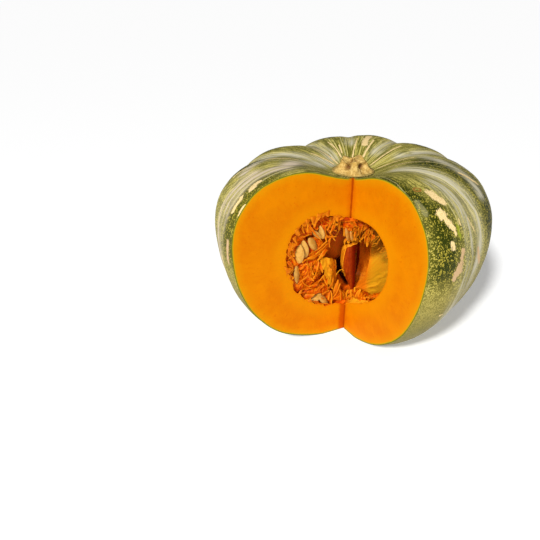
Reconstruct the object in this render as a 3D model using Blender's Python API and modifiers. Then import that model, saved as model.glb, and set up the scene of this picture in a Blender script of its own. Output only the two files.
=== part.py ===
"""A ribbed winter squash with a quarter cut out of it, seeds and pulp in place.

The fruit stands on its blossom end with the stem up. Units are metres, +Z is up and
the origin is on the table, on the fruit's own axis. Azimuths are in degrees from the
front (-Y), growing towards the right (+X). A place behind a cut is three numbers in
millimetres: along the cut from the crease, up from the table, and behind the cut.
"""
import math
import random

import bmesh
import bpy
from mathutils import Matrix, Vector

MM = 0.001
UP = Vector((0, 0, 1))
MERGE_DISTANCE = 0.01 * MM
POLE_RADIUS = 0.1 * MM
CURVE_SAMPLES = 400
SHARP_ANGLE = 50

SKIN_COLOUR = (0.86, 0.36, 0.02)
CORK_COLOUR = (0.62, 0.45, 0.22)
PULP_COLOUR = (0.78, 0.22, 0.02)

# The body of revolution that the ribs are raised on
BODY_RADIUS = 112.5 * MM
WIDEST_HEIGHT = 99.4 * MM
SHOULDER_RISE = 54.9 * MM
SHOULDER_FULLNESS = 4.2
CROWN_DIP = 19.0 * MM
CROWN_DIP_RADIUS = 38.0 * MM
UNDERSIDE_DROP = 101.0 * MM
UNDERSIDE_FULLNESS = 2.74
REST_RADIUS = 32.0 * MM
SEAT_RADIUS = 18.8 * MM
SHOULDER_POINTS = 10
UNDERSIDE_POINTS = 10

# Each rib starts in a groove: the groove's azimuth, how far the groove stands from the
# round body, how far the rib swells out between its two grooves, and its mesh steps
RIBS = (
    (5, -10.0 * MM, 5.8 * MM, 11),
    (53, -2.5 * MM, 4.6 * MM, 12),
    (106, -2.5 * MM, 4.3 * MM, 8),
    (140, -3.5 * MM, 5.2 * MM, 8),
    (175, -2.4 * MM, 5.2 * MM, 8),
    (207, -10.0 * MM, 5.2 * MM, 10),
    (250, -8.0 * MM, 2.5 * MM, 9),
    (288, -1.5 * MM, 4.5 * MM, 10),
    (330, -7.0 * MM, 5.0 * MM, 8),
)
RIB_ROUNDNESS = 0.7
RIB_FADE_TO_CROWN = 1.2
RIB_FADE_TO_REST = 45 * MM

# The quarter that was cut out: two upright cuts that meet just in front of the stem
CREASE = Vector((0, -16.0 * MM, 0))
LEFT_CUT_AZIMUTH = -63
RIGHT_CUT_AZIMUTH = LEFT_CUT_AZIMUTH + 90
CUTTER_SIDE = 200 * MM
CUTTER_LEVEL = 90 * MM

# The seed cavity
CAVITY_RADIUS = 67.5 * MM
CAVITY_LEVEL = 81.4 * MM
CAVITY_RISE = 32.6 * MM
CAVITY_FULLNESS = 4.0
CAVITY_ROOF_DIP = 10.0 * MM
CAVITY_ROOF_DIP_RADIUS = 33.6 * MM
CAVITY_DROP = 55.5 * MM
CAVITY_LEAN = 0.13
CAVITY_STEPS = 48
CAVITY_POINTS = 9
PULP_GAP = 0.5 * MM

# The corky stem
STEM_GAP = 0.3 * MM
STEM_HEIGHT = 9.5 * MM
STEM_SIDESTEP = 1.6 * MM
STEM_FOOT_RADIUS = 16.6 * MM
STEM_NECK_RADIUS = 8.8 * MM
STEM_FLARE = 2.4
STEM_TOP_WIDENING = 1.2 * MM
STEM_PIT_RADIUS = STEM_NECK_RADIUS * 0.55
STEM_PIT_LEVEL = 0.9
STEM_LEVELS = (0, 0.1, 0.22, 0.38, 0.56, 0.75, 0.92, 1.0)
STEM_RIDGES = 5
STEM_RIDGE_SIZE = 0.24
STEM_ROUGH_FROM = 0.8
STEM_ROUGHNESS = 0.9 * MM
STEM_RIDGE_TIPS = 0.8 * MM
STEM_STEPS = 30

# A seed of the squash
SEED_LENGTH = 17.0 * MM
SEED_WIDTH = 9.2 * MM
SEED_THICKNESS = 3.4 * MM
SEED_TAPER = 0.45
SEED_TAPER_POWER = 1.3
SEED_MESH = (8, 6)

# Pulp fibres and the egg-shaped cores that they stand out of
FIBRE_TIP = 0.45
FIBRE_BOW = 2.2
FIBRE_SPREAD = 0.5
FIBRE_LEAN_OUT = (-0.9, 0.1)
FIBRE_THICKNESS_RANGE = (0.7, 1.2)
FIBRE_LEAST_DEPTH = 0.8
LUMP_MESH = (12, 8)
BIG_LUMP_MESH = (14, 10)

# Left pulp: its lumps, then its seeds, each with the turn of its pointed end from
# straight up towards the crease and the turn about its own length
LEFT_CORE = ((50, 72, 16), (24, 11, 40))
LEFT_LUMPS = (
    ((31, 62, 14), (14, 8.5, 22)),
    ((33, 103, 14), (19, 7, 9)),
    ((24, 38, 13), (18, 8, 10)),
)
LEFT_SEEDS = (
    (49.0, 67.0, 4.0, 186, 25),
    (46.5, 83.5, 4.0, -8, 20),
    (41.5, 86.0, 6.5, 4, 35),
    (35.5, 88.0, 5.0, -38, 15),
    (27.0, 97.5, 6.0, 12, 80),
    (32.0, 94.0, 9.0, -25, 30),
    (31.5, 43.5, 6.0, 62, 40),
    (23.0, 37.0, 5.0, -48, 30),
    (19.0, 43.0, 9.0, 80, 60),
)

# The thick cut strand that edges the left pulp, and the bunches of fibres round it: how
# many, where they root (ranges along, up and behind), what they lean to, reach, thickness
LEFT_COLUMN = ((30, 86, 10), (25, 76, 3), (21, 62, 2.5), (17, 48, 3), (14, 36, 6))
LEFT_COLUMN_THICKNESS = 3.4 * MM
LEFT_COLUMN_TIP = 0.6
LEFT_FIBRES = (
    (18, ((20, 54), (99, 107), (5, 11)), (30, 74), (9, 17), 1.9),
    (16, ((26, 50), (48, 78), (7, 11)), (22, 60), (8, 15), 1.5),
    (12, ((12, 40), (32, 42), (7, 12)), (20, 70), (9, 17), 1.7),
    (8, ((50, 58), (52, 98), (7, 13)), (36, 72), (8, 14), 1.7),
)

# Roof pulp, in plain X, Y and Z millimetres
ROOF_CORE = ((6, -6, 106), (23, 14, 6))
ROOF_SEED_ENDS = ((-1, -11, 84), (2.5, -9, 84))
ROOF_SEED_RISE = 6.5
ROOF_SEED_POINTED = Vector((0.1, 0, 1))
ROOF_SEED_FACING = Vector((0.8, -0.6, 0))
ROOF_FIBRES = 26
ROOF_FIBRE_ROOTS = ((-12, 24), (-16, 2))
ROOF_FIBRE_LEVEL = 104
ROOF_FIBRE_DROP = (9, 20)
ROOF_FIBRE_DRIFT = ((-6, 6), (-5, 4))
ROOF_FIBRE_THICKNESS = (1.1, 2.0)

# The torn membrane: a bent sheet round an upright axis
CURTAIN_CENTRE = Vector((3.0, 5.0, 0)) * MM
CURTAIN_RADIUS = 8.5 * MM
CURTAIN_NARROWING = 2.0 * MM
CURTAIN_START = -150
CURTAIN_SWEEP = 150
CURTAIN_FOOT = 27 * MM
CURTAIN_HEIGHT = 44 * MM
CURTAIN_TOP_FALL = 7 * MM
CURTAIN_HIGHEST = 0.45
CURTAIN_THICKNESS = 1.6 * MM
CURTAIN_MESH = (6, 8)

# Floor pulp, in places behind the right cut
FLOOR_CORE = ((24, 37, 9), (26, 7, 8.5))
FLOOR_FRONT_LUMP = ((1, 28, 4), (12, 4, 4.5))
FLOOR_SEEDS = ((14, 37, 11, 70), (30, 47, 11, 115))
FLOOR_SEED_FACING_UP = 0.8
FLOOR_FIBRES = 26
FLOOR_FIBRE_ROOTS = (-6, 42)
FLOOR_LEVEL = 27
FLOOR_SLOPE = 0.55
FLOOR_FIBRE_DEPTH = (3, 6)
FLOOR_DEPTH_GROWTH = 0.3
FLOOR_FIBRE_LEAN = ((-5, 5), (8, 15), (-4, 2))
FLOOR_FIBRE_THICKNESS = (1.2, 2.0)
FLOOR_FIBRE_TIP = 0.5
HANGING_BOW = 2
FLOOR_BOW = 1.5


def azimuth_direction(degrees):
    angle = math.radians(degrees)
    return Vector((math.sin(angle), -math.cos(angle), 0))


LEFT_ALONG = azimuth_direction(LEFT_CUT_AZIMUTH)
LEFT_INTO = azimuth_direction(LEFT_CUT_AZIMUTH - 90)
RIGHT_ALONG = azimuth_direction(RIGHT_CUT_AZIMUTH)
RIGHT_INTO = azimuth_direction(RIGHT_CUT_AZIMUTH + 90)


def behind_left_cut(along, height, depth):
    """A point in millimetres: along the left cut from the crease, up, and behind it."""
    return CREASE + (LEFT_ALONG * along + UP * height + LEFT_INTO * depth) * MM


def behind_right_cut(along, height, depth):
    """The same for the right cut."""
    return CREASE + (RIGHT_ALONG * along + UP * height + RIGHT_INTO * depth) * MM


def clear_scene():
    for old in list(bpy.data.objects):
        bpy.data.objects.remove(old, do_unlink=True)


def new_collection(name):
    collection = bpy.data.collections.new(name)
    bpy.context.scene.collection.children.link(collection)
    return collection


def new_material(name, colour, roughness):
    material = bpy.data.materials.new(name)
    material.use_nodes = True
    shader = material.node_tree.nodes["Principled BSDF"]
    shader.inputs["Base Color"].default_value = (*colour, 1)
    shader.inputs["Roughness"].default_value = roughness
    shader.inputs["Metallic"].default_value = 0.0
    return material


def object_from_bmesh(name, mesh_data, collection):
    bmesh.ops.recalc_face_normals(mesh_data, faces=mesh_data.faces[:])
    mesh = bpy.data.meshes.new(name)
    mesh_data.to_mesh(mesh)
    mesh_data.free()
    new_object = bpy.data.objects.new(name, mesh)
    collection.objects.link(new_object)
    return new_object


def finish_part(part, material):
    part.data.materials.clear()
    part.data.materials.append(material)
    part.data.shade_smooth()
    part.data.set_sharp_from_angle(angle=math.radians(SHARP_ANGLE))


def even_points(curve, count):
    """Reads count points at even spacing along curve(t), t from 0 to 1, ends included."""
    fine = [curve(step / CURVE_SAMPLES) for step in range(CURVE_SAMPLES + 1)]
    lengths = [0.0]
    for before, after in zip(fine, fine[1:]):
        lengths.append(lengths[-1] + math.dist(before, after))
    points = []
    index = 0
    for step in range(count):
        target = lengths[-1] * step / (count - 1)
        while index < len(fine) - 2 and lengths[index + 1] < target:
            index += 1
        span = lengths[index + 1] - lengths[index]
        share = 0 if span == 0 else (target - lengths[index]) / span
        points.append(tuple(a + (b - a) * share for a, b in zip(fine[index], fine[index + 1])))
    return points


def spun_solid(profile, steps):
    """Turns (radius, height) points round the Z axis into a closed mesh."""
    mesh_data = bmesh.new()
    verts = [mesh_data.verts.new((radius, 0, height)) for radius, height in profile]
    edges = [mesh_data.edges.new(pair) for pair in zip(verts, verts[1:])]
    bmesh.ops.spin(mesh_data, geom=verts + edges, axis=UP, cent=(0, 0, 0), steps=steps,
                   angle=math.tau, use_merge=True)
    bmesh.ops.remove_doubles(mesh_data, verts=mesh_data.verts[:], dist=MERGE_DISTANCE)
    return mesh_data


def azimuth_of(point):
    return math.degrees(math.atan2(point.x, -point.y)) % 360


def crown_height(radius):
    """Height of the round body's upper side above its widest level."""
    dip = CROWN_DIP * math.exp(-(radius / CROWN_DIP_RADIUS) ** 2)
    rise = SHOULDER_RISE * math.sqrt(max(0, 1 - (radius / BODY_RADIUS) ** SHOULDER_FULLNESS))
    return rise - dip


def body_profile():
    def shoulder(t):
        turn = t * math.pi / 2
        full = BODY_RADIUS * math.sin(turn) ** (2 / SHOULDER_FULLNESS)
        radius = SEAT_RADIUS + (BODY_RADIUS - SEAT_RADIUS) * (full / BODY_RADIUS)
        return radius, WIDEST_HEIGHT + crown_height(radius)

    def underside(t):
        radius = BODY_RADIUS * math.cos(t * math.pi / 2)
        share = 1 - (radius / BODY_RADIUS) ** UNDERSIDE_FULLNESS
        return radius, WIDEST_HEIGHT - UNDERSIDE_DROP * math.sqrt(max(0, share))

    upper = even_points(shoulder, SHOULDER_POINTS)
    rest_turn = math.acos(REST_RADIUS / BODY_RADIUS) / (math.pi / 2)
    lower = even_points(lambda t: underside(t * rest_turn), UNDERSIDE_POINTS)
    lower[-1] = (REST_RADIUS, 0.0)
    return [(0.0, upper[0][1])] + upper + lower[1:] + [(0.0, 0.0)]


def rib_place(step):
    """The azimuth of a mesh step and how far the skin stands out of the round body there."""
    for index, (azimuth, groove, swell, steps) in enumerate(RIBS):
        if step < steps:
            break
        step -= steps
    next_azimuth, next_groove = RIBS[(index + 1) % len(RIBS)][:2]
    share = step / steps
    width = (next_azimuth - azimuth) % 360
    lobe = math.sin(math.pi * share) ** RIB_ROUNDNESS
    return azimuth + width * share, groove + (next_groove - groove) * share + swell * lobe


def raise_ribs(mesh_data):
    """Moves each ring's vertices out or in along the round body's own normal."""
    total_steps = sum(rib[3] for rib in RIBS)
    for vert in mesh_data.verts:
        radius = math.hypot(vert.co.x, vert.co.y)
        if radius < POLE_RADIUS:
            continue
        step = round(azimuth_of(vert.co) / 360 * total_steps) % total_steps
        azimuth, offset = rib_place(step)
        level = vert.co.z - WIDEST_HEIGHT
        across = min(1, max(0, (radius - SEAT_RADIUS) / (BODY_RADIUS - SEAT_RADIUS)))
        strength = math.sin(across * math.pi / 2) ** RIB_FADE_TO_CROWN
        if level > 0:
            slope = Vector((SHOULDER_FULLNESS * (radius / BODY_RADIUS) ** (SHOULDER_FULLNESS - 1)
                            / BODY_RADIUS, 2 * level / SHOULDER_RISE ** 2))
        else:
            slope = Vector((UNDERSIDE_FULLNESS * (radius / BODY_RADIUS) ** (UNDERSIDE_FULLNESS - 1)
                            / BODY_RADIUS, 2 * level / UNDERSIDE_DROP ** 2))
            strength *= min(1, max(0, (radius - REST_RADIUS) / RIB_FADE_TO_REST))
        slope.normalize()
        radius += offset * strength * slope.x
        place = azimuth_direction(azimuth) * radius
        vert.co = (place.x, place.y, vert.co.z + offset * strength * slope.y)


def cavity_profile(inset=0.0):
    def roof(t):
        turn = t * math.pi / 2
        radius = CAVITY_RADIUS * math.sin(turn) ** (2 / CAVITY_FULLNESS)
        dip = CAVITY_ROOF_DIP * math.exp(-(radius / CAVITY_ROOF_DIP_RADIUS) ** 2)
        return radius, CAVITY_LEVEL + CAVITY_RISE * math.cos(turn) - dip

    def floor(t):
        turn = t * math.pi / 2
        return CAVITY_RADIUS * math.cos(turn), CAVITY_LEVEL - CAVITY_DROP * math.sin(turn)

    points = even_points(roof, CAVITY_POINTS) + even_points(floor, CAVITY_POINTS)[1:]
    inner = []
    for radius, height in points:
        side = math.hypot(radius / CAVITY_RADIUS, (height - CAVITY_LEVEL) / CAVITY_DROP)
        pull = inset / max(side, 0.2)
        inner.append((max(0.0, radius - pull * radius / CAVITY_RADIUS),
                      height - pull * (height - CAVITY_LEVEL) / CAVITY_DROP))
    return inner


def make_cavity(name, collection, inset=0.0):
    """The hollow round the seeds, a little taller towards the left cut."""
    mesh_data = spun_solid(cavity_profile(inset), CAVITY_STEPS)
    for vert in mesh_data.verts:
        lean = 1 + CAVITY_LEAN * math.cos(math.radians(azimuth_of(vert.co) + 90))
        radius = math.hypot(vert.co.x, vert.co.y)
        share = min(1, radius / (CAVITY_RADIUS * 0.5))
        factor = 1 + (lean - 1) * share
        vert.co.z = CAVITY_LEVEL + (vert.co.z - CAVITY_LEVEL) * factor
    return object_from_bmesh(name, mesh_data, collection)


def apply_boolean(target, operation, operand=None, collection=None):
    """Puts one Boolean on target and applies it to the mesh."""
    modifier = target.modifiers.new(operation.lower(), "BOOLEAN")
    modifier.operation = operation
    if collection is None:
        modifier.object = operand
    else:
        modifier.operand_type = "COLLECTION"
        modifier.collection = collection
    bpy.context.view_layer.update()
    evaluated = target.evaluated_get(bpy.context.evaluated_depsgraph_get())
    result = bpy.data.meshes.new_from_object(evaluated)
    target.modifiers.clear()
    target.data = result


def as_cutter(cutter):
    cutter.hide_render = True
    cutter.display_type = "WIRE"
    return cutter


def make_fruit(collection, cutters):
    mesh_data = spun_solid(body_profile(), sum(rib[3] for rib in RIBS))
    raise_ribs(mesh_data)
    fruit = object_from_bmesh("fruit", mesh_data, collection)

    block = bmesh.new()
    bmesh.ops.create_cube(block, size=CUTTER_SIDE)
    turn = Matrix.Rotation(math.radians(RIGHT_CUT_AZIMUTH), 4, "Z")
    centre = CREASE + (LEFT_ALONG + RIGHT_ALONG) * CUTTER_SIDE / 2 + UP * CUTTER_LEVEL
    bmesh.ops.transform(block, matrix=Matrix.Translation(centre) @ turn, verts=block.verts[:])
    quarter = as_cutter(object_from_bmesh("quarter_cut", block, cutters))
    cavity = as_cutter(make_cavity("cavity_cut", cutters))
    for name, cutter in (("quarter", quarter), ("cavity", cavity)):
        modifier = fruit.modifiers.new(name, "BOOLEAN")
        modifier.operation = "DIFFERENCE"
        modifier.object = cutter
    return fruit


def stem_radius(share):
    """Flares out to the foot and a little at the rough top."""
    flare = (1 - share) ** STEM_FLARE
    radius = STEM_NECK_RADIUS + (STEM_FOOT_RADIUS - STEM_NECK_RADIUS) * flare
    return radius + STEM_TOP_WIDENING * share ** 3


def make_stem(collection):
    seat = WIDEST_HEIGHT + crown_height(SEAT_RADIUS) + STEM_GAP
    profile = [(0.0, seat)]
    profile += [(stem_radius(level), seat + STEM_HEIGHT * level) for level in STEM_LEVELS]
    profile += [(STEM_PIT_RADIUS, seat + STEM_HEIGHT), (0.0, seat + STEM_HEIGHT * STEM_PIT_LEVEL)]
    mesh_data = spun_solid(profile, STEM_STEPS)
    for vert in mesh_data.verts:
        radius = math.hypot(vert.co.x, vert.co.y)
        if radius < POLE_RADIUS:
            continue
        share = (vert.co.z - seat) / STEM_HEIGHT
        azimuth = math.radians(azimuth_of(vert.co))
        ridge = math.cos(azimuth * STEM_RIDGES)
        scale = 1 + STEM_RIDGE_SIZE * ridge * math.sin(math.pi * min(1, max(0, share * 0.95)))
        vert.co.x *= scale
        vert.co.y *= scale
        if share > STEM_ROUGH_FROM:
            lump = STEM_ROUGHNESS * math.sin(azimuth * 3 + 0.7) * share
            vert.co.z += lump + STEM_RIDGE_TIPS * ridge
    bmesh.ops.translate(mesh_data, vec=(STEM_SIDESTEP, 0, 0), verts=mesh_data.verts[:])
    return object_from_bmesh("stem", mesh_data, collection)


def make_strand(points, thickness, tip_share, collection):
    """One fibre of pulp: a tapering four-sided tube through the points."""
    curve = bpy.data.curves.new("strand", "CURVE")
    curve.dimensions = "3D"
    curve.bevel_depth = thickness
    curve.bevel_resolution = 0
    curve.use_fill_caps = True
    spline = curve.splines.new("POLY")
    spline.points.add(len(points) - 1)
    for index, (point, place) in enumerate(zip(spline.points, points)):
        point.co = (*place, 1)
        point.radius = 1 + (tip_share - 1) * index / (len(points) - 1)
    guide = bpy.data.objects.new("strand_guide", curve)
    collection.objects.link(guide)
    bpy.context.view_layer.update()
    evaluated = guide.evaluated_get(bpy.context.evaluated_depsgraph_get())
    mesh_data = bmesh.new()
    mesh_data.from_mesh(bpy.data.meshes.new_from_object(evaluated))
    bmesh.ops.remove_doubles(mesh_data, verts=mesh_data.verts[:], dist=MERGE_DISTANCE)
    bpy.data.objects.remove(guide, do_unlink=True)
    return object_from_bmesh("strand", mesh_data, collection)


def bowed_path(root, tip, bow, steps=3):
    """Points from root to tip, bowed out to one side like a slack fibre."""
    points = []
    for step in range(steps + 1):
        share = step / steps
        points.append(root.lerp(tip, share) + bow * math.sin(math.pi * share))
    return points


def make_seed(centre, pointed_end, flat_side, collection):
    """A flat seed: rounded at one end, drawn to a point towards pointed_end."""
    mesh_data = bmesh.new()
    segments, rings = SEED_MESH
    bmesh.ops.create_uvsphere(mesh_data, u_segments=segments, v_segments=rings, radius=0.5)
    for vert in mesh_data.verts:
        taper = 1 - SEED_TAPER * max(0, 2 * vert.co.z) ** SEED_TAPER_POWER
        vert.co.x *= SEED_WIDTH * taper
        vert.co.y *= SEED_THICKNESS * taper
        vert.co.z *= SEED_LENGTH
    along = pointed_end.normalized()
    across = flat_side.cross(along).normalized()
    facing = along.cross(across)
    frame = Matrix((across, facing, along)).transposed().to_4x4()
    bmesh.ops.transform(mesh_data, matrix=Matrix.Translation(centre) @ frame,
                        verts=mesh_data.verts[:])
    return object_from_bmesh("seed", mesh_data, collection)


def make_lump(centre, radii, axes, collection, mesh_size=LUMP_MESH):
    """An egg-shaped core that fibres stand out of."""
    segments, rings = mesh_size
    mesh_data = bmesh.new()
    bmesh.ops.create_uvsphere(mesh_data, u_segments=segments, v_segments=rings, radius=1)
    frame = Matrix(axes).transposed().to_4x4()
    size = Matrix.Diagonal((*[radius * MM for radius in radii], 1))
    bmesh.ops.transform(mesh_data, matrix=Matrix.Translation(centre) @ frame @ size,
                        verts=mesh_data.verts[:])
    return object_from_bmesh("lump", mesh_data, collection)


def drop_scraps(part):
    """Keeps the largest connected piece of a mesh."""
    mesh_data = bmesh.new()
    mesh_data.from_mesh(part.data)
    unseen = set(mesh_data.verts)
    pieces = []
    while unseen:
        piece = {unseen.pop()}
        edge_of_search = list(piece)
        while edge_of_search:
            vert = edge_of_search.pop()
            for edge in vert.link_edges:
                other = edge.other_vert(vert)
                if other not in piece:
                    piece.add(other)
                    edge_of_search.append(other)
        unseen -= piece
        pieces.append(piece)
    pieces.sort(key=len)
    scraps = [vert for piece in pieces[:-1] for vert in piece]
    bmesh.ops.delete(mesh_data, geom=scraps, context="VERTS")
    mesh_data.to_mesh(part.data)
    mesh_data.free()


def fuse(core, bunch, name, cavity):
    """Joins a bunch's fibres and seeds to its core and keeps it inside the hollow."""
    apply_boolean(core, "UNION", collection=bunch)
    for piece in list(bunch.objects):
        bpy.data.objects.remove(piece, do_unlink=True)
    bpy.data.collections.remove(bunch)
    apply_boolean(core, "INTERSECT", operand=cavity)
    drop_scraps(core)
    core.name = name
    core.data.name = name
    return core


def loose_strands(count, draw, region, focus, reach, thickness, bunch):
    """Fibres that stand out of the left core towards a focus, drawn from one seeded rule."""
    for _ in range(count):
        along = draw.uniform(*region[0])
        height = draw.uniform(*region[1])
        depth = draw.uniform(*region[2])
        towards = Vector((focus[0] - along, focus[1] - height, 0)).normalized()
        towards.z = draw.uniform(*FIBRE_LEAN_OUT)
        towards.x += draw.uniform(-FIBRE_SPREAD, FIBRE_SPREAD)
        towards.y += draw.uniform(-FIBRE_SPREAD, FIBRE_SPREAD)
        towards.normalize()
        length = draw.uniform(*reach)
        tip = Vector((along, height, depth)) + towards * length
        tip.z = max(tip.z, FIBRE_LEAST_DEPTH)
        root = behind_left_cut(along, height, depth)
        end = behind_left_cut(*tip)
        bow = Vector([draw.uniform(-FIBRE_BOW, FIBRE_BOW) * MM for _ in range(3)])
        width = thickness * draw.uniform(*FIBRE_THICKNESS_RANGE)
        make_strand(bowed_path(root, end, bow), width, FIBRE_TIP, bunch)


def make_left_pulp(collection, cavity):
    """The packed tangle that fills the left side of the hollow, flush with the cut."""
    draw = random.Random(11)
    bunch = new_collection("left_bunch")
    axes = (LEFT_ALONG, LEFT_INTO, UP)
    place, radii = LEFT_CORE
    core = make_lump(behind_left_cut(*place), radii, axes, collection, BIG_LUMP_MESH)
    for place, radii in LEFT_LUMPS:
        make_lump(behind_left_cut(*place), radii, axes, bunch)
    for along, height, depth, turn, roll in LEFT_SEEDS:
        angle = math.radians(turn)
        pointed = UP * math.cos(angle) - LEFT_ALONG * math.sin(angle)
        side = LEFT_ALONG * math.cos(angle) + UP * math.sin(angle)
        rolled = math.radians(roll)
        facing = -LEFT_INTO * math.cos(rolled) + side * math.sin(rolled)
        make_seed(behind_left_cut(along, height, depth), pointed, facing, bunch)
    column = [behind_left_cut(*point) for point in LEFT_COLUMN]
    make_strand(column, LEFT_COLUMN_THICKNESS, LEFT_COLUMN_TIP, bunch)
    for count, region, focus, reach, thickness in LEFT_FIBRES:
        loose_strands(count, draw, region, focus, reach, thickness * MM, bunch)
    return fuse(core, bunch, "pulp_left", cavity)


def make_roof_pulp(collection, cavity):
    """Fibres and two seeds that hang from the roof behind the crease."""
    draw = random.Random(5)
    bunch = new_collection("roof_bunch")
    axes = (Vector((1, 0, 0)), Vector((0, 1, 0)), UP)
    centre, radii = ROOF_CORE
    core = make_lump(Vector(centre) * MM, radii, axes, collection)
    for seed_end in ROOF_SEED_ENDS:
        seed_centre = Vector(seed_end) * MM + UP * ROOF_SEED_RISE * MM
        make_seed(seed_centre, ROOF_SEED_POINTED, ROOF_SEED_FACING, bunch)
    for _ in range(ROOF_FIBRES):
        across, back = [draw.uniform(*spread) for spread in ROOF_FIBRE_ROOTS]
        root = Vector((across, back, ROOF_FIBRE_LEVEL)) * MM
        drop = draw.uniform(*ROOF_FIBRE_DROP)
        drift = [draw.uniform(*spread) for spread in ROOF_FIBRE_DRIFT]
        tip = root + Vector((*drift, -drop)) * MM
        bow = Vector([draw.uniform(-HANGING_BOW, HANGING_BOW) * MM for _ in range(2)] + [0])
        width = draw.uniform(*ROOF_FIBRE_THICKNESS) * MM
        make_strand(bowed_path(root, tip, bow), width, FIBRE_TIP, bunch)
    return fuse(core, bunch, "pulp_roof", cavity)


def make_curtain(collection, cavity):
    """The torn membrane that stands in the middle of the hollow, open to the right."""
    mesh_data = bmesh.new()
    columns, rows = CURTAIN_MESH
    bmesh.ops.create_grid(mesh_data, x_segments=columns, y_segments=rows, size=0.5)
    for vert in mesh_data.verts:
        across = vert.co.x + 0.5
        rise = vert.co.y + 0.5
        turn = math.radians(CURTAIN_START + CURTAIN_SWEEP * across)
        radius = CURTAIN_RADIUS - CURTAIN_NARROWING * rise
        top = CURTAIN_HEIGHT - CURTAIN_TOP_FALL * (2 * (across - CURTAIN_HIGHEST)) ** 2
        round_axis = Vector((math.cos(turn), math.sin(turn), 0)) * radius
        vert.co = CURTAIN_CENTRE + round_axis + UP * (CURTAIN_FOOT + top * rise)
    sheet = object_from_bmesh("pulp_curtain", mesh_data, collection)
    modifier = sheet.modifiers.new("wall", "SOLIDIFY")
    modifier.thickness = CURTAIN_THICKNESS
    modifier.offset = 0
    bpy.context.view_layer.update()
    evaluated = sheet.evaluated_get(bpy.context.evaluated_depsgraph_get())
    sheet.data = bpy.data.meshes.new_from_object(evaluated)
    sheet.modifiers.clear()
    apply_boolean(sheet, "INTERSECT", operand=cavity)
    return sheet


def make_floor_pulp(collection, cavity):
    """Short fibres and crumbs left along the floor, with two more seeds."""
    draw = random.Random(3)
    bunch = new_collection("floor_bunch")
    axes = (RIGHT_ALONG, RIGHT_INTO, UP)
    place, radii = FLOOR_CORE
    core = make_lump(behind_right_cut(*place), radii, axes, collection)
    place, radii = FLOOR_FRONT_LUMP
    make_lump(behind_right_cut(*place), radii, axes, bunch)
    facing = UP * FLOOR_SEED_FACING_UP - RIGHT_INTO
    for along, height, depth, turn in FLOOR_SEEDS:
        angle = math.radians(turn)
        pointed = UP * math.cos(angle) + RIGHT_ALONG * math.sin(angle)
        make_seed(behind_right_cut(along, height, depth), pointed, facing, bunch)
    nearest, deepest = FLOOR_FIBRE_DEPTH
    for _ in range(FLOOR_FIBRES):
        along = draw.uniform(*FLOOR_FIBRE_ROOTS)
        outward = max(0, along)
        height = FLOOR_LEVEL + FLOOR_SLOPE * outward
        depth = draw.uniform(nearest, deepest + FLOOR_DEPTH_GROWTH * outward)
        lean, rise, retreat = [draw.uniform(*spread) for spread in FLOOR_FIBRE_LEAN]
        root = behind_right_cut(along, height, depth)
        tip_depth = max(FIBRE_LEAST_DEPTH, depth + retreat)
        tip = behind_right_cut(along + lean, height + rise, tip_depth)
        bow = Vector([draw.uniform(-FLOOR_BOW, FLOOR_BOW) * MM for _ in range(2)] + [0])
        width = draw.uniform(*FLOOR_FIBRE_THICKNESS) * MM
        make_strand(bowed_path(root, tip, bow, 2), width, FLOOR_FIBRE_TIP, bunch)
    return fuse(core, bunch, "pulp_floor", cavity)


def main():
    clear_scene()
    squash = new_collection("winter_squash")
    cutters = new_collection("cutters")
    skin = new_material("rind_and_flesh", SKIN_COLOUR, 0.45)
    cork = new_material("stem", CORK_COLOUR, 0.8)
    pulp = new_material("pulp", PULP_COLOUR, 0.4)

    finish_part(make_fruit(squash, cutters), skin)
    finish_part(make_stem(squash), cork)
    inner = as_cutter(make_cavity("pulp_limit", cutters, PULP_GAP))
    for part in (
        make_left_pulp(squash, inner),
        make_roof_pulp(squash, inner),
        make_curtain(squash, inner),
        make_floor_pulp(squash, inner),
    ):
        finish_part(part, pulp)
        triangles = sum(len(face.vertices) - 2 for face in part.data.polygons)
        print(part.name, triangles, "triangles")


main()
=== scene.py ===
# %% [markdown]
# # A winter squash with a quarter cut out
#
# A ribbed winter squash stands on its blossom end. A quarter has been cut out of its front,
# as far as a crease just before the stem, so that the thick orange flesh, the seed hollow
# and the wet pulp with its seeds show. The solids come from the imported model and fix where
# everything is. This script builds the finer shapes and the finishes round them.

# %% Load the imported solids
import math
import random

import bmesh
import bpy
import numpy as np
from mathutils import Matrix, Vector, noise
from mathutils.bvhtree import BVHTree
from mathutils.kdtree import KDTree


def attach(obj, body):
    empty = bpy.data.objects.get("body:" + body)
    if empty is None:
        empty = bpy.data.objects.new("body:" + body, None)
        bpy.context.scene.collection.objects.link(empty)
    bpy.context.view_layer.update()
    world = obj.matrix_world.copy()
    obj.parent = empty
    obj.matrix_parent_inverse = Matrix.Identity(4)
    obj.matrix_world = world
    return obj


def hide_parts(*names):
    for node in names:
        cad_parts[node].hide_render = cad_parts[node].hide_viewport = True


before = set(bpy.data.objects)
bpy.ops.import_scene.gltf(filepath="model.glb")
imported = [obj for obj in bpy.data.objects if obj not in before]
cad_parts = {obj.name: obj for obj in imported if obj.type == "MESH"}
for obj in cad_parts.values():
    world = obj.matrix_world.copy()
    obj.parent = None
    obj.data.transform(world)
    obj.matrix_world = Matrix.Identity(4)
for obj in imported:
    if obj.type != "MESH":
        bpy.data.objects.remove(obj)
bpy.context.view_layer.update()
# Blender's noise vectors start from the clock unless they are given a seed
NOISE_SEED = 7
noise.seed_set(NOISE_SEED)
print("solids in the frame:", ", ".join(sorted(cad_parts)))

# %% [markdown]
# ## The camera
#
# The photograph looks down on the fruit from the front and a little from the left. The
# camera was fitted to the fruit's outline and to both cut faces, so it has a real distance
# and lens. The Standard view transform keeps the strong orange that a softer one dulls.

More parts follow.
